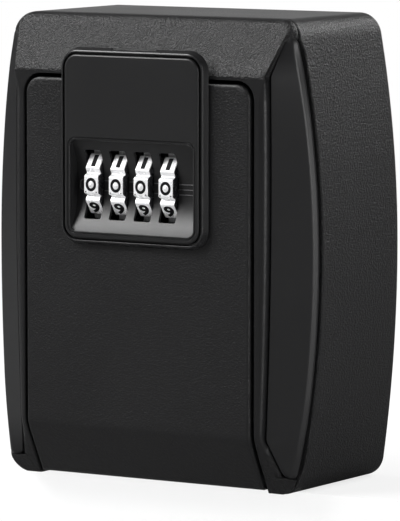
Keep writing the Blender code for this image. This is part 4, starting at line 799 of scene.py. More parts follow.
def frame_sections():
    """Right half of the frame's cross sections, from the top middle round to the foot, with their roundings.

    Nine corners a section: opening edge, front fold, crease, rear fold, seam edge, inner seam edge, root, flange
    end outside and inside. Over the door the face runs back to the body's outline; beside it, it stops at the fold.
    Where the release tab's arm and the bolt pass, the opening's edge is higher or the flange shorter."""
    size = bpy.context.scene.cabinet_sizes
    opening, flange_end = size.opening_half, size.flange_end
    inner_x, inner_z = opening - size.opening_corner, size.opening_top - size.opening_corner
    (low_x, _), (high_x, turn_high) = corner_centres()
    high_z = size.height - size.top_corner
    edge_x, edge_z = strip_edge(size.upper_fold) - size.fold_corner, size.upper_fold - size.fold_corner
    lean = size.top_setback / (size.height - size.upper_fold)
    mitre_x, mitre_z = size.mitre_low_x, size.mitre_low_z
    slope_in = size.low_setback / size.lower_fold
    slope_out = size.mitre_low_depth / (size.lower_fold - mitre_z)
    top_reach = np.array([0.45, 2.0, 1.0, size.fold_round / MM, 0.2, 0.3, 0.5, 0.3, 0.3]) * MM
    leg_reach = np.array([0.55, size.strip_round / MM, 0.0, 0.2, 0.0, 0.3, 0.3, 0.3, 0.3]) * MM
    foot_reach = np.array([0.55, 2.0, 0.6, 0.3, 0.1, 0.1, 0.3, 0.3, 0.3]) * MM
    sections, reaches = [], []

    def section(reach, *corners):
        sections.append([(point[0], depth, point[1]) for point, depth in corners])
        reaches.append(reach)

    def bent(height, slope):
        return fold(height, size.lower_fold, slope, size.bend_round)

    def root_behind(back):
        return min(back + size.frame_shell, flange_end - 1.0 * MM)

    def top_section(edge, out, point, turn, end=flange_end):
        part = 1.0 if turn >= 90.0 else max(turn - turn_high, 0.0) / (90.0 - turn_high)
        depth = size.upper_tip + (size.top_setback - size.upper_tip) * part
        seam = depth + size.side_step + (size.top_step - size.side_step) * part
        if turn >= 90.0:
            across = point[0] * high_x / edge_x
            rim, inner = (across, size.height), (across, size.height - size.wall)
        else:
            drawn = size.top_corner - 0.6 * MM * max(60.0 - turn, 0.0) / (60.0 - HIGH_TIP_TURN)
            rim, inner = on_arc(high_x, high_z, drawn, turn), on_arc(high_x, high_z, drawn - size.wall, turn)
        near = 0.80 + 0.15 * (90.0 - max(turn, 60.0)) / 30.0
        crease = np.array(point) * (1 - near) + np.array(rim) * near
        bend = np.clip((80.0 - turn) / (80.0 - HIGH_TIP_TURN), 0.0, 1.0) ** 0.7
        crease = crease * (1 - bend) + np.array((size.mitre_high_x, size.mitre_high_z)) * bend
        edge_back, point_back = (max(at[1] - size.upper_fold, 0.0) * lean for at in (edge, point))
        section(top_reach, (edge, edge_back), (point, point_back), (crease, (crease[1] - size.upper_fold) * lean),
                (rim, depth), (rim, seam), (inner, seam), (out, size.frame_root), (out, end), (edge, end))

    def leg_section(edge, out, point, back=0.0, point_back=0.0, rounded=1.0):
        lip = point_back + size.strip_lip
        section(leg_reach * np.where(np.arange(9) == 1, rounded, 1.0), (edge, back), (point, point_back),
                (point, point_back + size.strip_round * 1.05), (point, lip), (point, lip),
                ((point[0] - 1.2 * MM, point[1]), lip), (out, root_behind(back)), (out, flange_end), (edge, flange_end))

    def corner_edges(turn):
        return (on_arc(inner_x, inner_z, radius, turn) for radius in (size.opening_corner,
                                                                      size.opening_corner + size.flange))

    way_sides = [half + gap for half in (size.arm_slot, size.bolt_slot) for gap in (-0.01 * MM, 0.01 * MM)]
    for across in np.sort(np.concatenate([np.linspace(0.0, inner_x, 15), way_sides])):
        edge, out, point = size.opening_top, size.opening_top + size.flange, size.upper_fold
        end = size.bolt_front if across < size.bolt_slot else flange_end
        if across < size.arm_slot:
            edge, out, point, end = out + 0.4 * MM, out + 0.7 * MM, out + 1.0 * MM, size.frame_root + 0.1 * MM
        top_section((across, edge), (across, out), (edge_x * across / inner_x, point), 90.0, end)
    for part in np.linspace(0.0, 1.0, 22)[1:]:
        turn = 90.0 - 45.0 * part
        point = on_arc(edge_x, edge_z, size.fold_corner, turn)
        top_section(*corner_edges(turn), point, 90.0 - (90.0 - HIGH_TIP_TURN) * part)

    start = on_arc(edge_x, edge_z, size.fold_corner, 45.0)[1]
    for part in np.linspace(0.0, 1.0, 14):
        height = start + (inner_z - start) * part
        bend = max(height - edge_z, 0.0)
        across = strip_edge(height) - size.fold_corner + math.sqrt(max(size.fold_corner ** 2 - bend ** 2, 0.0))
        leg_section(*corner_edges(45.0 - 45.0 * part), (across, height), rounded=max(part ** 0.7, 0.2))
    above_bend, below_bend = size.lower_fold + 3.0 * MM, size.lower_fold - 3.0 * MM
    spans = ((inner_z, above_bend, 28), (above_bend, below_bend, 14), (below_bend, mitre_z, 12))
    for height in np.concatenate([np.linspace(*span)[1:] for span in spans]):
        below = max(size.lower_fold - height, 0.0) / (size.lower_fold - mitre_z)
        across = strip_edge(max(height, size.lower_fold)) * (1 - below) + mitre_x * below
        leg_section((opening, height), (opening + size.flange, height), (across, height),
                    bent(height, slope_in), bent(height, slope_out))

    lift = 0.05 * MM
    for part in np.linspace(0.0, 1.0, 15):
        turn = -LOW_TIP_TURN - (90.0 - LOW_TIP_TURN) * part
        drawn = size.low_corner - 1.0 * MM * (1 - part)
        rim = on_arc(low_x, size.low_corner, drawn, turn)
        inner = on_arc(low_x, size.low_corner, drawn - 1.5 * MM, turn)
        point = np.array((mitre_x, mitre_z * (1 - math.sin(math.radians(90.0 * part))) + lift))
        back = bent(point[1], slope_out) * (1 - part) + bent(0.0, slope_in) * part
        height = mitre_z * (1 - part) + lift * part
        edge, out = (opening, height), (opening + size.flange, max(height, 0.4 * MM))
        depth = size.lower_tip + (size.low_setback - size.lower_tip) * part
        crease = (point * 0.35 + rim * 0.65, back * 0.35 + depth * 0.65 + 0.1 * MM)
        depth = depth + 0.2 * MM
        seam = depth + size.side_step
        section(foot_reach, (edge, bent(height, slope_in)), (point, back), crease, (rim, depth), (rim, seam),
                (inner, seam), (out, root_behind(back)), (out, flange_end), (edge, flange_end))
    return np.array(sections), np.array(reaches)


def strip_edge(height):
    """Middle to the outer edge of the strips beside the door: widest at strip_peak, falling as the square of the
    distance from it."""
    size = bpy.context.scene.cabinet_sizes
    return size.front_half - size.strip_bow * ((height - size.strip_peak) / size.strip_peak) ** 2


class CABINET_OT_front_frame(Operator):
    """Front frame: a folded section carried over the top of the door and down both sides"""
    bl_idname = "cabinet.front_frame"
    bl_label = "Front frame"

    def execute(self, context):
        size = context.scene.cabinet_sizes
        skin = Skin()
        right, reach = frame_sections()
        left = right[1:][::-1] * (-1.0, 1.0, 1.0)
        corners = np.concatenate([left, right])
        reach = np.concatenate([reach[1:][::-1], reach])
        skin.tube(ease(stood(corners[..., ::2], corners[..., 1]), reach, 7))
        lug_blocks(skin, (43.0 * MM, 50.2 * MM), (9.4 * MM, 11.9 * MM), 0.4 * MM)
        across = (-size.bolt_slot - 0.2 * MM, size.bolt_slot + 0.2 * MM)
        block(skin, across, (size.bolt_back, size.flange_end), (size.opening_top, size.opening_top + size.flange))
        skin.finish("front_surround", "cabinet", "black_metal", "front_frame")
        return {"FINISHED"}


def trim_edges():
    """Heights of a trim's level rows, and its front and rear edges there as (across, depth).

    The front edge runs beside the strip and along both mitres. The rear edge follows the body's side, drawn in
    towards its ends. At the tips both close on their middle like a circle: sqrt(1 - (1 - d / r)^2)."""
    size = bpy.context.scene.cabinet_sizes
    first = sum(BASE_COUNTS) - 1
    last = first + 1 + FOOT_STEPS + 2 * SIDE_STEPS + HEAD_STEPS
    outer = barrel(0.0)[first:last]
    order = np.argsort(outer[:, 1], kind="stable")
    loop, loop_depth = outer[order], fold_depth(0.0, 0.0)[first:last][order]
    low, high = size.mitre_low_z - 0.6 * MM, size.mitre_high_z - 0.7 * MM
    blunt = size.trim_blunt
    z = np.unique(np.concatenate([low + blunt * quarter(12), np.linspace(low + blunt, high - blunt, 120),
                                  high - blunt * quarter(12)]))
    rear_x = np.interp(z, loop[:, 1], loop[:, 0]) - size.trim_draw
    rear_x = rear_x - size.foot_draw * np.clip((30.0 * MM - z) / (25.0 * MM), 0.0, 1.0) ** 1.5
    rear_x = rear_x - size.head_draw * np.clip((z - 112.0 * MM) / (28.0 * MM), 0.0, 1.0) ** 1.5
    below = np.clip((size.lower_fold - z) / (size.lower_fold - size.mitre_low_z), 0.0, 1.2)
    above = np.clip((z - size.upper_fold) / (size.mitre_high_z - size.upper_fold), 0.0, 1.2)
    foot, head = strip_edge(size.lower_fold), strip_edge(size.upper_fold)
    front_x = strip_edge(np.clip(z, size.lower_fold, size.upper_fold)) + size.trim_gap
    front_x = front_x + (size.mitre_low_x - foot) * below + (size.mitre_high_x - head) * above
    lean = size.top_setback / (size.height - size.upper_fold)
    front_depth = size.mitre_low_depth * below + (size.mitre_high_z - size.upper_fold) * lean * above
    front_depth = front_depth + size.trim_recess * (1 - 0.65 * np.maximum(np.minimum(above, 1.0), 0.5 * below))
    front = np.stack([front_x, front_depth])
    rear = np.stack([rear_x, np.interp(z, loop[:, 1], loop_depth)])
    near_end = np.minimum(z - low, high - z)
    close = np.sqrt(np.maximum(1 - np.clip(1 - near_end / blunt, 0.0, 1.0) ** 2, 0.0))
    middle = front + (rear - front) * 0.5
    return z, *(middle + (edge - middle) * np.maximum(close, 0.02) for edge in (front, rear))


class CABINET_OT_side_trims(Operator):
    """Side trims: level rows between the upright fold and the side arc, with a rounded band along the rear edge"""
    bl_idname = "cabinet.side_trims"
    bl_label = "Side trims"

    def execute(self, context):
        size = context.scene.cabinet_sizes
        z, (front_x, front_depth), (rear_x, rear_depth) = trim_edges()
        wide, deep = rear_x - front_x, rear_depth - front_depth
        part = np.minimum(size.trim_band / np.hypot(wide, deep), 0.5)
        rise = size.band_rise * np.clip(wide / (5.0 * MM), 0.0, 1.0)
        back = rear_depth + size.side_step
        tongue = back + size.groove
        tongue_x = rear_x - np.minimum(1.3 * MM, wide * 0.4)
        inner_x = rear_x - np.minimum(size.wall, wide * 0.8)
        corners = [(front_x, front_depth), (rear_x - wide * part, rear_depth - deep * part - rise),
                   (rear_x, rear_depth), (rear_x, back), (tongue_x, back), (tongue_x, tongue), (inner_x, tongue),
                   (front_x, front_depth + size.trim_wall)]
        reach = np.array([0.4, 0.45, 0.45, 0.1, 0.1, 0.1, 0.2, 0.2]) * MM
        for side, name in ((-1.0, "side_trim_left"), (1.0, "side_trim_right")):
            skin = Skin()
            skin.tube(ease(np.stack([place(side * x, depth, z) for x, depth in corners], 1), reach, 7))
            skin.finish(name + "_cover", "cabinet", "trim_plastic", name, sharp=50.0)
        return {"FINISHED"}


class CABINET_OT_door(Operator):
    """Door: a folded panel with rounded edges, an opening for the dial and a hinge barrel at its foot"""
    bl_idname = "cabinet.door"
    bl_label = "Door"

    def execute(self, context):
        size = context.scene.cabinet_sizes
        dial = context.scene.dial_sizes
        half, foot, top, edge = size.door_half, size.door_lip, size.door_top, size.door_edge
        corner, bend, notch = size.door_corner, size.lower_fold, size.notch_half
        margin, around_bend = 1.5 * MM, 3.0 * MM
        hole, low, high = dial.window_half + margin, dial.window_low - margin, dial.window_high + margin
        x = graded([-half, -hole, -notch, notch, hole, half], edge, 5, [12, 14, 4, 14, 12])
        z = graded([foot, bend - around_bend, bend + around_bend, low, high, top - corner, size.notch_foot, top],
                   edge, 5, [8, 20, 30, 14, 10, 5, 3])
        z = np.unique(np.concatenate([z, top - corner * quarter(12)]))
        grid_x, grid_z = np.meshgrid(x, z)
        extent = row_extent(z, half, foot, top, 0.3 * MM, corner)[:, None]
        beyond = (np.abs(grid_x) - hole) / (half - hole)
        grid_x = np.where(beyond > 0, np.sign(grid_x) * (hole + beyond * (extent - hole)), grid_x)
        inside = edge_distance(grid_x, grid_z, half, foot - 10.0 * MM, top, corner)
        inside = np.minimum(inside, grid_z - foot)
        slope = (size.hinge_depth - 2.0 * MM) / (bend - foot)
        face = fold(grid_z, bend, slope, 1.2 * MM) - size.door_proud
        rear = face + size.door_wall * (1.0 + 0.12 * (grid_z < bend)) - rounding(inside, 0.4 * MM)
        middle_x = np.abs((x[:-1] + x[1:]) / 2)[None]
        middle_z = ((z[:-1] + z[1:]) / 2)[:, None]
        keep = ~((middle_x < hole) & (middle_z > low) & (middle_z < high))
        keep &= ~((middle_x < notch) & (middle_z > size.notch_foot))
        skin = Skin()
        skin.sheet(place(grid_x, face + rounding(inside, edge), grid_z), place(grid_x, rear, grid_z), keep)
        reach, bore = half - 0.5 * MM, size.pin + 0.1 * MM
        profile = [(-reach, bore), (-reach, size.knuckle), (reach, size.knuckle), (reach, bore)]
        lathe(skin, place(0.0, size.hinge_depth, size.hinge_height), 0, profile,
              [0.1 * MM, 0.4 * MM, 0.4 * MM, 0.1 * MM], 40, closed=True)
        skin.finish("door_skin", "door", "door_metal", "door_panel")
        return {"FINISHED"}


class CABINET_OT_dial_housing(Operator):
    """Dial housing: rounded rectangles stacked from its back edge over the rim and down to the ledge inside"""
    bl_idname = "cabinet.dial_housing"
    bl_label = "Dial housing"

    def execute(self, context):
        dial = context.scene.dial_sizes
        steps, hair = 14, 0.01 * MM
        way_x = [dial.recess_half + hair, dial.recess_half - hair, hair - dial.recess_half, -hair - dial.recess_half]
        top = 2 * steps + 2

        def loop(inset, rise, way_inset=None, way_rise=dial.recess):
            """One outline, rise in front of the front plane, with the tab's way let into its upper edge."""
            high = dial.high - inset
            points = rounded_rectangle(dial.half - inset, dial.low + inset, high, dial.corner - inset, steps)
            points = np.insert(points, top, np.stack([way_x, np.full(4, high)], 1), 0)
            rises = np.full(len(points), rise)
            if way_inset is not None:
                points[top + 1:top + 3, 1] = dial.high - way_inset
                rises[top + 1:top + 3] = way_rise
            return stood(points, -rises)
        rim_rise, shelf_rise, way_front = dial.proud - dial.rim_step, dial.back + 0.6 * MM, dial.recess + 0.4 * MM
        inner, ledge, way_ledge = dial.rim + 0.05 * MM, 2.6 * MM, 1.7 * MM
        way_draft = dial.draft * (rim_rise - dial.recess) / (rim_rise - dial.back)
        corners = np.stack([
            loop(-dial.draft, dial.back, -way_draft),
            loop(0.0, rim_rise),
            loop(dial.rim, rim_rise),
            loop(inner, shelf_rise, inner, way_front),
            loop(ledge, shelf_rise, way_ledge, way_front),
            loop(ledge, dial.back, way_ledge),
        ], 1)
        skin = Skin()
        skin.patch(ease(corners, np.array([0.3, 0.4, 0.2, 0.1, 0.1, 0.1]) * MM, 7), along=True, around=True)
        skin.finish("dial_surround", "door", "dial_plastic", "dial_housing", sharp=50.0)
        return {"FINISHED"}


def wheel_places():
    """Sideways place of each number wheel."""
    dial = bpy.context.scene.dial_sizes
    return dial.shift + (np.arange(dial.wheels) - (dial.wheels - 1) / 2) * dial.pitch


def slot_sides():
    """Sideways places of the wheel slots' sides, from left to right."""
    half = bpy.context.scene.dial_sizes.slot_half
    return np.sort(np.concatenate([wheel_places() - half, wheel_places() + half]))


def scoop_depth(z):
    """Depth of the scoop behind the fascia's face: a circular arc between the window's upper and lower edges,
    with a step at the edge that grows from the foot to the head."""
    dial = bpy.context.scene.dial_sizes
    half = (dial.window_high - dial.window_low) / 2
    radius = (half ** 2 + dial.sag ** 2) / (2 * dial.sag)
    off = np.clip(np.abs(z - (dial.window_high + dial.window_low) / 2), 0.0, half)
    step = 0.15 + 0.6 * np.clip((z - dial.window_low) / (dial.window_high - dial.window_low), 0.0, 1.0)
    return np.sqrt(radius ** 2 - off ** 2) - (radius - dial.sag) + step * MM


def fascia_lines(half, low, high, corner, slot_round):
    """Grid lines across and up the fascia, closer together at the plate's edge, the groove, the lip and the slots."""
    dial = bpy.context.scene.dial_sizes
    window, foot, head = dial.window_half, dial.window_low, dial.window_high
    rounded, edge, beside, curl = quarter(8), 0.6 * MM, 1.2 * MM, slot_round * quarter(8)
    groove = np.array([-1.2, -1.1, -0.95, -0.9, -0.8, -0.7, -0.6, -0.5]) * MM
    lip = dial.lip * np.sin(np.radians(np.linspace(0.0, 90.0, 8))) - dial.lip
    near = np.concatenate([groove, lip, 0.001 * MM + 0.1 * MM * rounded[1:]])
    slots = slot_sides()
    knots = [0.1 * MM - window, *slots, window - 0.1 * MM]
    between = [np.linspace(first, last, 6)[1:-1] for first, last in zip(knots[:-1], knots[1:])]
    side = np.concatenate([half - edge * rounded, np.linspace(half - edge, window + beside, 3)[1:], window - near])
    x = np.unique(np.round(np.concatenate([side, -side, slots, *between]), 9))
    slot_low, slot_high = dial.axis_height - dial.slot_rise, dial.axis_height + dial.slot_rise
    z = np.unique(np.round(np.concatenate([
        low + edge * rounded, high - edge * rounded, low + corner * rounded, high - corner * rounded,
        foot + near, head - near, foot + dial.window_corner * rounded, head - dial.window_corner * rounded,
        slot_low + curl, slot_high - curl, slot_low - curl, slot_high + curl,
        np.linspace(foot + 0.2 * MM, slot_low, 12), np.linspace(slot_low, slot_high, 40),
        np.linspace(slot_high, head - 0.2 * MM, 12), np.linspace(head + beside, high - edge, 12)]), 9))
    must = np.isin(z, np.round([slot_low, slot_high, foot, head], 9))
    return x, z[np.concatenate([[True], np.diff(z) > 0.012 * MM]) | must]


class CABINET_OT_fascia(Operator):
    """Dial fascia: a plate whose window is a scoop on a circular arc, with a slot for each wheel"""
    bl_idname = "cabinet.fascia"
    bl_label = "Dial fascia"

    def execute(self, context):
        dial = context.scene.dial_sizes
        inset = dial.rim + dial.fascia_gap
        half, low, high, corner = dial.half - inset, dial.low + inset, dial.high - inset, dial.corner - inset
        window, foot, head, round_window = dial.window_half, dial.window_low, dial.window_high, dial.window_corner
        slot_round, lip, centres, slots = 0.7 * MM, dial.lip, wheel_places(), slot_sides()
        x, z = fascia_lines(half, low, high, corner, slot_round)
        grid_x, grid_z = np.meshgrid(x, z)
        past = np.abs(z - dial.axis_height) - (dial.slot_rise - slot_round)
        past = np.clip(np.where(past < slot_round, past, 2 * slot_round - past), 0.0, slot_round)
        draw = (slot_round - np.sqrt(slot_round ** 2 - past ** 2))[:, None]
        knots = np.sort(np.concatenate([slots, centres, [-window, window]]))
        grid_x = grid_x + np.interp(grid_x, knots, [0.0] + [1.0, 0.0, -1.0] * len(centres) + [0.0]) * draw
        plate = row_extent(z, half, low, high, corner, corner)[:, None]
        hole = row_extent(np.clip(z, foot, head), window, foot, head, round_window, round_window)[:, None]
        still = np.abs(slots).max() + 0.4 * MM
        off = np.abs(grid_x)
        by_window = still + (off - still) * (hole - still) / (window - still)
        by_edge = hole + (off - window) * (plate - hole) / (half - window)
        grid_x = np.sign(grid_x) * np.where(off > window, by_edge, np.where(off > still, by_window, off))
        inside = edge_distance(grid_x, grid_z, window, foot, head, round_window)
        wall = np.clip(inside / (0.1 * MM), 0.0, 1.0) ** 0.5
        scoop = scoop_depth(grid_z)
        lower = lip * 0.8 * np.clip((grid_z - foot) / (2.0 * MM), 0.25, 1.0)
        sunk = lower * (1 - np.sqrt(np.maximum(1 - np.clip(1 + inside / lip, 0.0, 1.0) ** 2, 0.0)))
        sunk = np.where(inside > 0, sunk + np.maximum(scoop - lower, 0.0) * wall, sunk)
        groove_place, groove_half, groove_deep = 0.72 * MM, 0.22 * MM, 0.3 * MM
        sunk = sunk + groove_deep * np.sqrt(np.clip(1 - np.abs(inside + groove_place) / groove_half, 0.0, 1.0))
        plate_edge = edge_distance(grid_x, grid_z, half, low, high, corner)
        front = sunk + rounding(plate_edge, 0.55 * MM) - dial.proud
        rear = np.where(inside > -1.15 * MM, np.maximum(scoop, 0.0), 0.0) + dial.fascia_wall - dial.proud
        middle_x = (grid_x[:-1, :-1] + grid_x[:-1, 1:] + grid_x[1:, :-1] + grid_x[1:, 1:]) / 4
        middle_z = ((z[:-1] + z[1:]) / 2)[:, None]
        keep = np.ones(middle_x.shape, bool)
        for centre in centres:
            across = np.abs(middle_x - centre) < dial.slot_half - (draw[:-1] + draw[1:]) / 2
            keep &= ~(across & (np.abs(middle_z - dial.axis_height) < dial.slot_rise))
        skin = Skin()
        skin.sheet(place(grid_x, front, grid_z), place(grid_x, rear, grid_z), keep)
        skin.finish("fascia_plate", "door", "fascia_plastic", "dial_fascia")
        return {"FINISHED"}


def wheel_loop():
    """Side view of a number wheel as (towards the front, up) corners: ten flat pads with a valley between each two."""
    dial = bpy.context.scene.dial_sizes
    pad = math.atan(dial.pad_half / dial.face)
    corner = math.hypot(dial.face, dial.pad_half)
    middle = 2 * math.pi * np.arange(dial.faces) / dial.faces
    turn = np.stack([middle - pad, middle + pad, middle + math.pi / dial.faces], 1).ravel()
    radius = np.tile([corner, corner, dial.root], dial.faces)
    return radius * np.cos(turn), radius * np.sin(turn)


class CABINET_OT_number_wheels(Operator):
    """Number wheels: the side view of ten raised pads, carried across the width with rounded edges"""
    bl_idname = "cabinet.number_wheels"
    bl_label = "Number wheels"

    def execute(self, context):
        dial = context.scene.dial_sizes
        ahead, up = wheel_loop()
        flat = np.stack([ahead, np.zeros_like(ahead), up], -1)[None]
        ahead, _, up = ease(flat, np.tile([0.45 * MM, 0.45 * MM, 0.35 * MM], dial.faces), 5)[0].T
        bore = dial.bore / np.hypot(ahead, up)
        for number, across in enumerate(wheel_places(), start=1):
            corners = np.stack([
                place(across + side * dial.wheel_half, dial.axis_depth - ahead * size, dial.axis_height + up * size)
                for side, size in ((-1, bore), (-1, 1.0), (1, 1.0), (1, bore))], 1)
            skin = Skin()
            skin.patch(ease(corners, [0.2 * MM, 0.32 * MM, 0.32 * MM, 0.2 * MM], 5), along=True, around=True)
            skin.finish("wheel_%d" % number, "wheel_%d" % number, "wheel_chrome", "number_wheel_%d" % number)
        return {"FINISHED"}


def digit_mesh(text, height, width):
    """A bold digit as flat raised points and faces, centred, from the built-in lettering."""
    curve = bpy.data.curves.new("digit", "FONT")
    curve.body = text
    curve.size = 1.0
    curve.offset = 0.038
    curve.resolution_u = 6
    curve.extrude = 0.5
    item = bpy.data.objects.new("digit", curve)
    bpy.context.scene.collection.objects.link(item)
    mesh = bpy.data.meshes.new_from_object(item.evaluated_get(bpy.context.evaluated_depsgraph_get()))
    points = np.empty(len(mesh.vertices) * 3)
    mesh.vertices.foreach_get("co", points)
    points = points.reshape(-1, 3)
    faces = [tuple(face.vertices) for face in mesh.polygons]
    bpy.data.objects.remove(item, do_unlink=True)
    bpy.data.meshes.remove(mesh)
    low, high = points.min(0), points.max(0)
    centre = (low + high) / 2
    points = (points - centre) / (high - low)
    points[:, 0] *= width
    points[:, 1] *= height
    return points, faces


class CABINET_OT_digits(Operator):
    """Digits: filled figures on the pads, with the nought drawn as a round ring about a small dome"""
    bl_idname = "cabinet.digits"
    bl_label = "Digits"

    def execute(self, context):
        dial = context.scene.dial_sizes
        context.view_layer.update()
        shapes = [self.nought(dial)]
        for digit in range(1, dial.faces):
            width = dial.digit_width * (0.40 if digit == 1 else 0.92)
            shapes.append(digit_mesh(str(digit), dial.digit_height, width))
        for number, across in enumerate(wheel_places(), start=1):
            skin = Skin()
            for digit, (points, faces) in enumerate(shapes):
                turn = 2 * math.pi * digit / dial.faces
                out = dial.face + np.where(points[:, 2] > 0, 0.05 * MM, -0.15 * MM)
                ahead = out * math.cos(turn) - points[:, 1] * math.sin(turn)
                rise = out * math.sin(turn) + points[:, 1] * math.cos(turn)
                skin.add(place(across + points[:, 0], dial.axis_depth - ahead, dial.axis_height + rise), faces)
            skin.finish("digits_%d" % number, "wheel_%d" % number, "wheel_chrome", look="ink", sharp=30.0)
            reach, foot = dial.digit_width / 2 - dial.digit_stroke - 0.08 * MM, 0.15 * MM - dial.face
            part = np.linspace(0.0, 1.0, 10)
            dome = np.column_stack([-dial.face - 0.55 * MM * (1 - part ** 2), np.maximum(part * reach, 1e-7)])
            profile = [*dome.tolist(), (foot, reach), (foot, 1e-7)]
            skin = Skin()
            lathe(skin, place(across, dial.axis_depth, dial.axis_height), 1, profile, 0.0, 32, 2)
            skin.finish("dome_%d" % number, "wheel_%d" % number, "wheel_chrome")
        return {"FINISHED"}

    def nought(self, dial):
        """A ring of four circles a section, and a small disc of painted shade near each lower corner of the pad."""
        steps, half, rise = 48, dial.digit_width / 2, dial.digit_height / 2
        turn = np.linspace(0.0, 2 * math.pi, steps, endpoint=False)[:, None]
        inner = 1 - dial.digit_stroke / half
        size = np.array([1.0, 1.0, inner, inner])
        level = np.broadcast_to([-1.0, 1.0, 1.0, -1.0], (steps, 4))
        points = [np.stack([half * size * np.cos(turn), rise * size * np.sin(turn), level], -1).reshape(-1, 3)]
        index = np.arange(steps * 4).reshape(steps, 4)
        after, beside = np.roll(index, -1, 0), np.roll(index, -1, 1)
        quads = np.stack([index, beside, np.roll(after, -1, 1), after], -1).reshape(-1, 4)
        faces = quads.tolist()
        start, steps = steps * 4, 12
        turn = np.linspace(0.0, 2 * math.pi, steps, endpoint=False)
        # Painted shade: two small black ink discs stand for the shade in small dimples near the pad's lower corners.
        radius, disc_x, disc_z = 0.22 * MM, 1.95 * MM, -2.3 * MM
        for side in (-1.0, 1.0):
            disc = np.column_stack([side * disc_x + radius * np.cos(turn), disc_z + radius * np.sin(turn)])
            points += [np.column_stack([disc, np.full(steps, level)]) for level in (1.0, -1.0)]
            front = [start + i for i in range(steps)]
            back = [start + steps + i for i in range(steps)]
            faces += [front, back[::-1]]
            faces += [[front[i - 1], back[i - 1], back[i], front[i]] for i in range(steps)]
            start += 2 * steps
        return np.vstack(points), faces


class CABINET_OT_index_marks(Operator):
    """Index marks: thin raised lines on the scoop, a bracket left of the wheels and a pair of bars right of them"""
    bl_idname = "cabinet.index_marks"
    bl_label = "Index marks"

    def execute(self, context):
        dial = context.scene.dial_sizes
        middle, rise = dial.axis_height - 0.4 * MM, 1.55 * MM
        left, right, bend, clear = -21.4 * MM, 21.2 * MM, 0.9 * MM, 0.12 * MM
        ends = np.concatenate([[left + bend], slot_sides() + np.tile([-clear, clear], dial.wheels), [right]])
        skin = Skin()
        for low, high in zip(ends[::2], ends[1::2]):
            for level in (-rise, rise):
                self.bar(skin, np.linspace(low, high, 9), np.full(9, middle + level))
        self.bar(skin, np.linspace(ends[-2], right, 9), np.full(9, middle))
        corner = arc(left + bend, middle + rise - bend, bend, 90.0, 180.0, 6)
        path = np.vstack([corner, corner[::-1] * (1.0, -1.0) + (0.0, 2 * middle)])
        self.bar(skin, path[:, 0], path[:, 1])
        skin.finish("index_marks", "door", "fascia_plastic", look="marks", sharp=40.0)
        return {"FINISHED"}

    def bar(self, skin, x, z):
        """A line of half round section that follows the scoop's surface along the path."""
        thin, high, deep = 0.13 * MM, 0.16 * MM, 0.3 * MM
        step = np.gradient(np.column_stack([x, z]), axis=0)
        step /= np.linalg.norm(step, axis=1, keepdims=True)
        turn = np.radians(np.linspace(0.0, 180.0, 7))
        off = np.append(np.cos(turn), [-1.0, 1.0]) * thin
        up = np.append(np.sin(turn) * high, [-deep, -deep])
        height = z[:, None] + step[:, :1] * off
        depth = scoop_depth(height) - bpy.context.scene.dial_sizes.proud - up
        grid = place(x[:, None] - step[:, 1:] * off, depth, height)
        skin.patch(grid, around=True)
        for row in (grid[0], grid[-1]):
            skin.loose([[row[0], row[i], row[i + 1]] for i in range(1, len(row) - 1)])


class CABINET_OT_carried_nodes(Operator):
    """Gives every node that keeps its own shape the finish of its material slot"""
    bl_idname = "cabinet.carried_nodes"
    bl_label = "Carried nodes"

    def execute(self, context):
        def numbered(stem, count):
            return ["%s_%d" % (stem, number) for number in range(1, count + 1)]
        slots = {
            "steel": ["strike_plate", "hinge_pin", *numbered("key_hook", 2), "wheel_shaft", "detent_spring",
                      "bolt_slide", *numbered("wheel_spacer", 3)],
            "screw_steel": [*numbered("strike_screw", 2), *numbered("frame_screw", 4), *numbered("cover_screw", 4),
                            *numbered("case_screw", 4)],
            "case_metal": ["lock_case", "lock_cover"],
            "cam_steel": numbered("wheel_sleeve", 4),
            "lever_plastic": ["reset_lever"],
            "dial_plastic": ["release_tab"],
        }
        for slot, names in slots.items():
            for name in names:
                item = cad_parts[name]
                for holder in item.material_slots:
                    holder.material = finish_for(slot)
                if not item.material_slots:
                    item.data.materials.append(finish_for(slot))
        return {"FINISHED"}


def aimed(name, data, target, azimuth, elevation, distance):
    """An object that looks at the target from an azimuth to the right of straight ahead and an elevation."""
    item = bpy.data.objects.new(name, data)
    out = Vector((math.sin(azimuth) * math.cos(elevation), -math.cos(azimuth) * math.cos(elevation),
                  math.sin(elevation)))
    item.location = Vector(target) + out * distance
    item.rotation_euler = out.to_track_quat("Z", "Y").to_euler()
    bpy.context.scene.collection.objects.link(item)
    return item


def lamp(name, azimuth, elevation, distance, width, height, watts):
    """A soft box that looks at the middle of the object: angles in degrees, distance and size in metres."""
    data = bpy.data.lights.new(name, "AREA")
    data.shape = "RECTANGLE"
    data.size, data.size_y = width, height
    data.energy = watts
    aimed(name, data, (0.0, -0.03, 0.0), math.radians(azimuth), math.radians(elevation), distance)


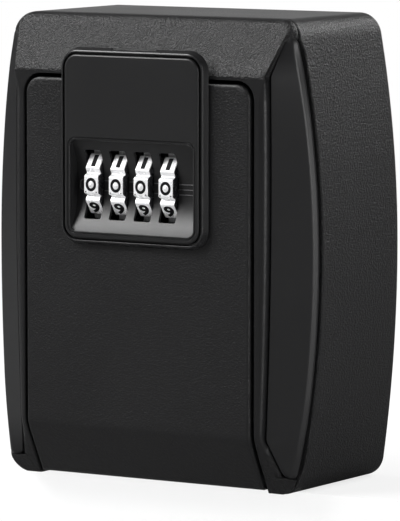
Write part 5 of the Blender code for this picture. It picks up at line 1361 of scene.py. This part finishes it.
class CABINET_OT_studio(Operator):
    """Stage: camera, pale floor, soft boxes and an even room"""
    bl_idname = "cabinet.studio"
    bl_label = "Studio"

    def execute(self, context):
        scene = context.scene
        studio = scene.cabinet_studio
        size = scene.cabinet_sizes
        data = bpy.data.cameras.new("camera")
        data.sensor_width = 36.0
        data.lens = studio.lens
        data.clip_start = 0.01
        target = (0.0227, -0.060, -0.0012)
        scene.camera = aimed("camera", data, target, studio.azimuth, studio.elevation, studio.distance)
        self.room(scene, studio)
        self.floor(scene, studio, -size.height / 2, -size.depth + studio.ledge_back)
        lamp("key", -43.0, 38.0, 1.0, 0.46, 0.32, studio.key)
        lamp("top_left", -84.0, 55.0, 1.0, 0.40, 0.30, studio.top)
        lamp("left_strip", -70.0, 12.0, 1.0, 0.10, 0.60, studio.left)
        lamp("right_strip", 73.0, 8.0, 0.9, 0.10, 0.80, studio.strip)
        lamp("back_light", 160.0, 31.0, 1.0, 0.5, 0.20, studio.back)
        scene.view_settings.view_transform = "Standard"
        return {"FINISHED"}

    def room(self, scene, studio):
        """White to the camera. Mirrored rays see a bright wall behind the object and a darker room around it."""
        world = bpy.data.worlds.new("room")
        world.use_nodes = True
        scene.world = world
        board = Board(world.node_tree)
        seen = board.add("LightPath", output=0)
        mirror = board.add("LightPath", output=3)
        direction = board.add("TexCoord", output=0)
        across, ahead, up = (board.along(direction, axis) for axis in range(3))
        straight = ahead * 0.848 - across * 0.530
        wall = board.ramp(straight, 0.88, 0.98) * (1.0 - board.ramp(up, 0.20, 0.50))
        gleam = 0.08 + wall * 0.46
        level = gleam * mirror + studio.fill * (1.0 - mirror)
        plain = board.add("Background", None, {"Color": (1.0, 1.0, 1.0, 1.0), "Strength": 1.0})
        soft = board.add("Background", None, {"Color": (1.0, 1.0, 1.0, 1.0), "Strength": level})
        board.end(board.add("MixShader", None, {0: seen, 1: soft, 2: plain}), "OutputWorld")

    def floor(self, scene, studio, level, edge):
        """A pale ledge under the housing and a lower floor in front, where the door swings down.

        Both fade into the white room with distance and keep the object's shadow."""
        mesh = bpy.data.meshes.new("floor")
        reach = 6.0
        low = level - studio.ledge
        profile = ((-reach, low), (edge, low), (edge, level), (reach, level))
        points = [(side * reach, ahead, up) for side in (-1, 1) for ahead, up in profile]
        mesh.from_pydata(points, [], [(4 + i, 5 + i, 1 + i, i) for i in range(3)])
        material, board = new_material("pale_floor")
        seen = board.add("LightPath", output=0)
        mirror = board.add("LightPath", output=3)
        spot = board.spot()
        far = board.add("VectorMath", {"operation": "LENGTH"}, {0: spot}, output=1)
        away = board.ramp(far, 0.12, 0.9)
        front = 1.0 - board.ramp(board.along(spot, 1), -0.5, 0.1)
        diffuse = board.add("BsdfDiffuse", None, {"Color": (0.80, 0.80, 0.80, 1.0)})
        glow = board.add("Emission", None, {"Color": (1.0, 1.0, 1.0, 1.0), "Strength": 1.0})
        ahead_glow = mirror * board.ramp(far, 0.10, 0.35) * front
        white = seen * (0.76 + away * 0.24) + ahead_glow * 0.29
        shade = board.add("BsdfDiffuse", None, {"Color": (0.04, 0.04, 0.04, 1.0)})
        dim = board.add("MixShader", None, {0: mirror * 0.85, 1: diffuse, 2: shade})
        board.end(board.add("MixShader", None, {0: white.least(1.0), 1: dim, 2: glow}))
        mesh.materials.append(material)
        ground = bpy.data.objects.new("floor", mesh)
        scene.collection.objects.link(ground)


class CABINET_PT_panel(Panel):
    """Lists the cabinet's settings and steps"""
    bl_label = "Key cabinet"
    bl_idname = "CABINET_PT_panel"
    bl_space_type = "VIEW_3D"
    bl_region_type = "UI"
    bl_category = "Key cabinet"

    def draw(self, context):
        for owner in ("cabinet_sizes", "dial_sizes", "cabinet_finish", "cabinet_studio"):
            group = getattr(context.scene, owner)
            box = self.layout.box()
            for name in group.__annotations__:
                box.prop(group, name)
        for step in STEPS:
            self.layout.operator(step.bl_idname)


GROUPS = {"cabinet_sizes": CabinetSizes, "dial_sizes": DialSizes, "cabinet_finish": CabinetFinish,
          "cabinet_studio": StudioSettings}
STEPS = (CABINET_OT_studio, CABINET_OT_body, CABINET_OT_front_frame, CABINET_OT_side_trims, CABINET_OT_door,
         CABINET_OT_dial_housing, CABINET_OT_fascia, CABINET_OT_number_wheels, CABINET_OT_digits,
         CABINET_OT_index_marks, CABINET_OT_carried_nodes)
CLASSES = (*GROUPS.values(), *STEPS, CABINET_PT_panel)


def register():
    for item in CLASSES:
        bpy.utils.register_class(item)
    for name, group in GROUPS.items():
        setattr(bpy.types.Scene, name, PointerProperty(type=group))


def unregister():
    for name in GROUPS:
        delattr(bpy.types.Scene, name)
    for item in reversed(CLASSES):
        bpy.utils.unregister_class(item)


def main():
    """Registers the classes and runs the steps in order."""
    register()
    for step in STEPS:
        group, name = step.bl_idname.split(".")
        getattr(getattr(bpy.ops, group), name)()


if __name__ == "__main__":
    main()
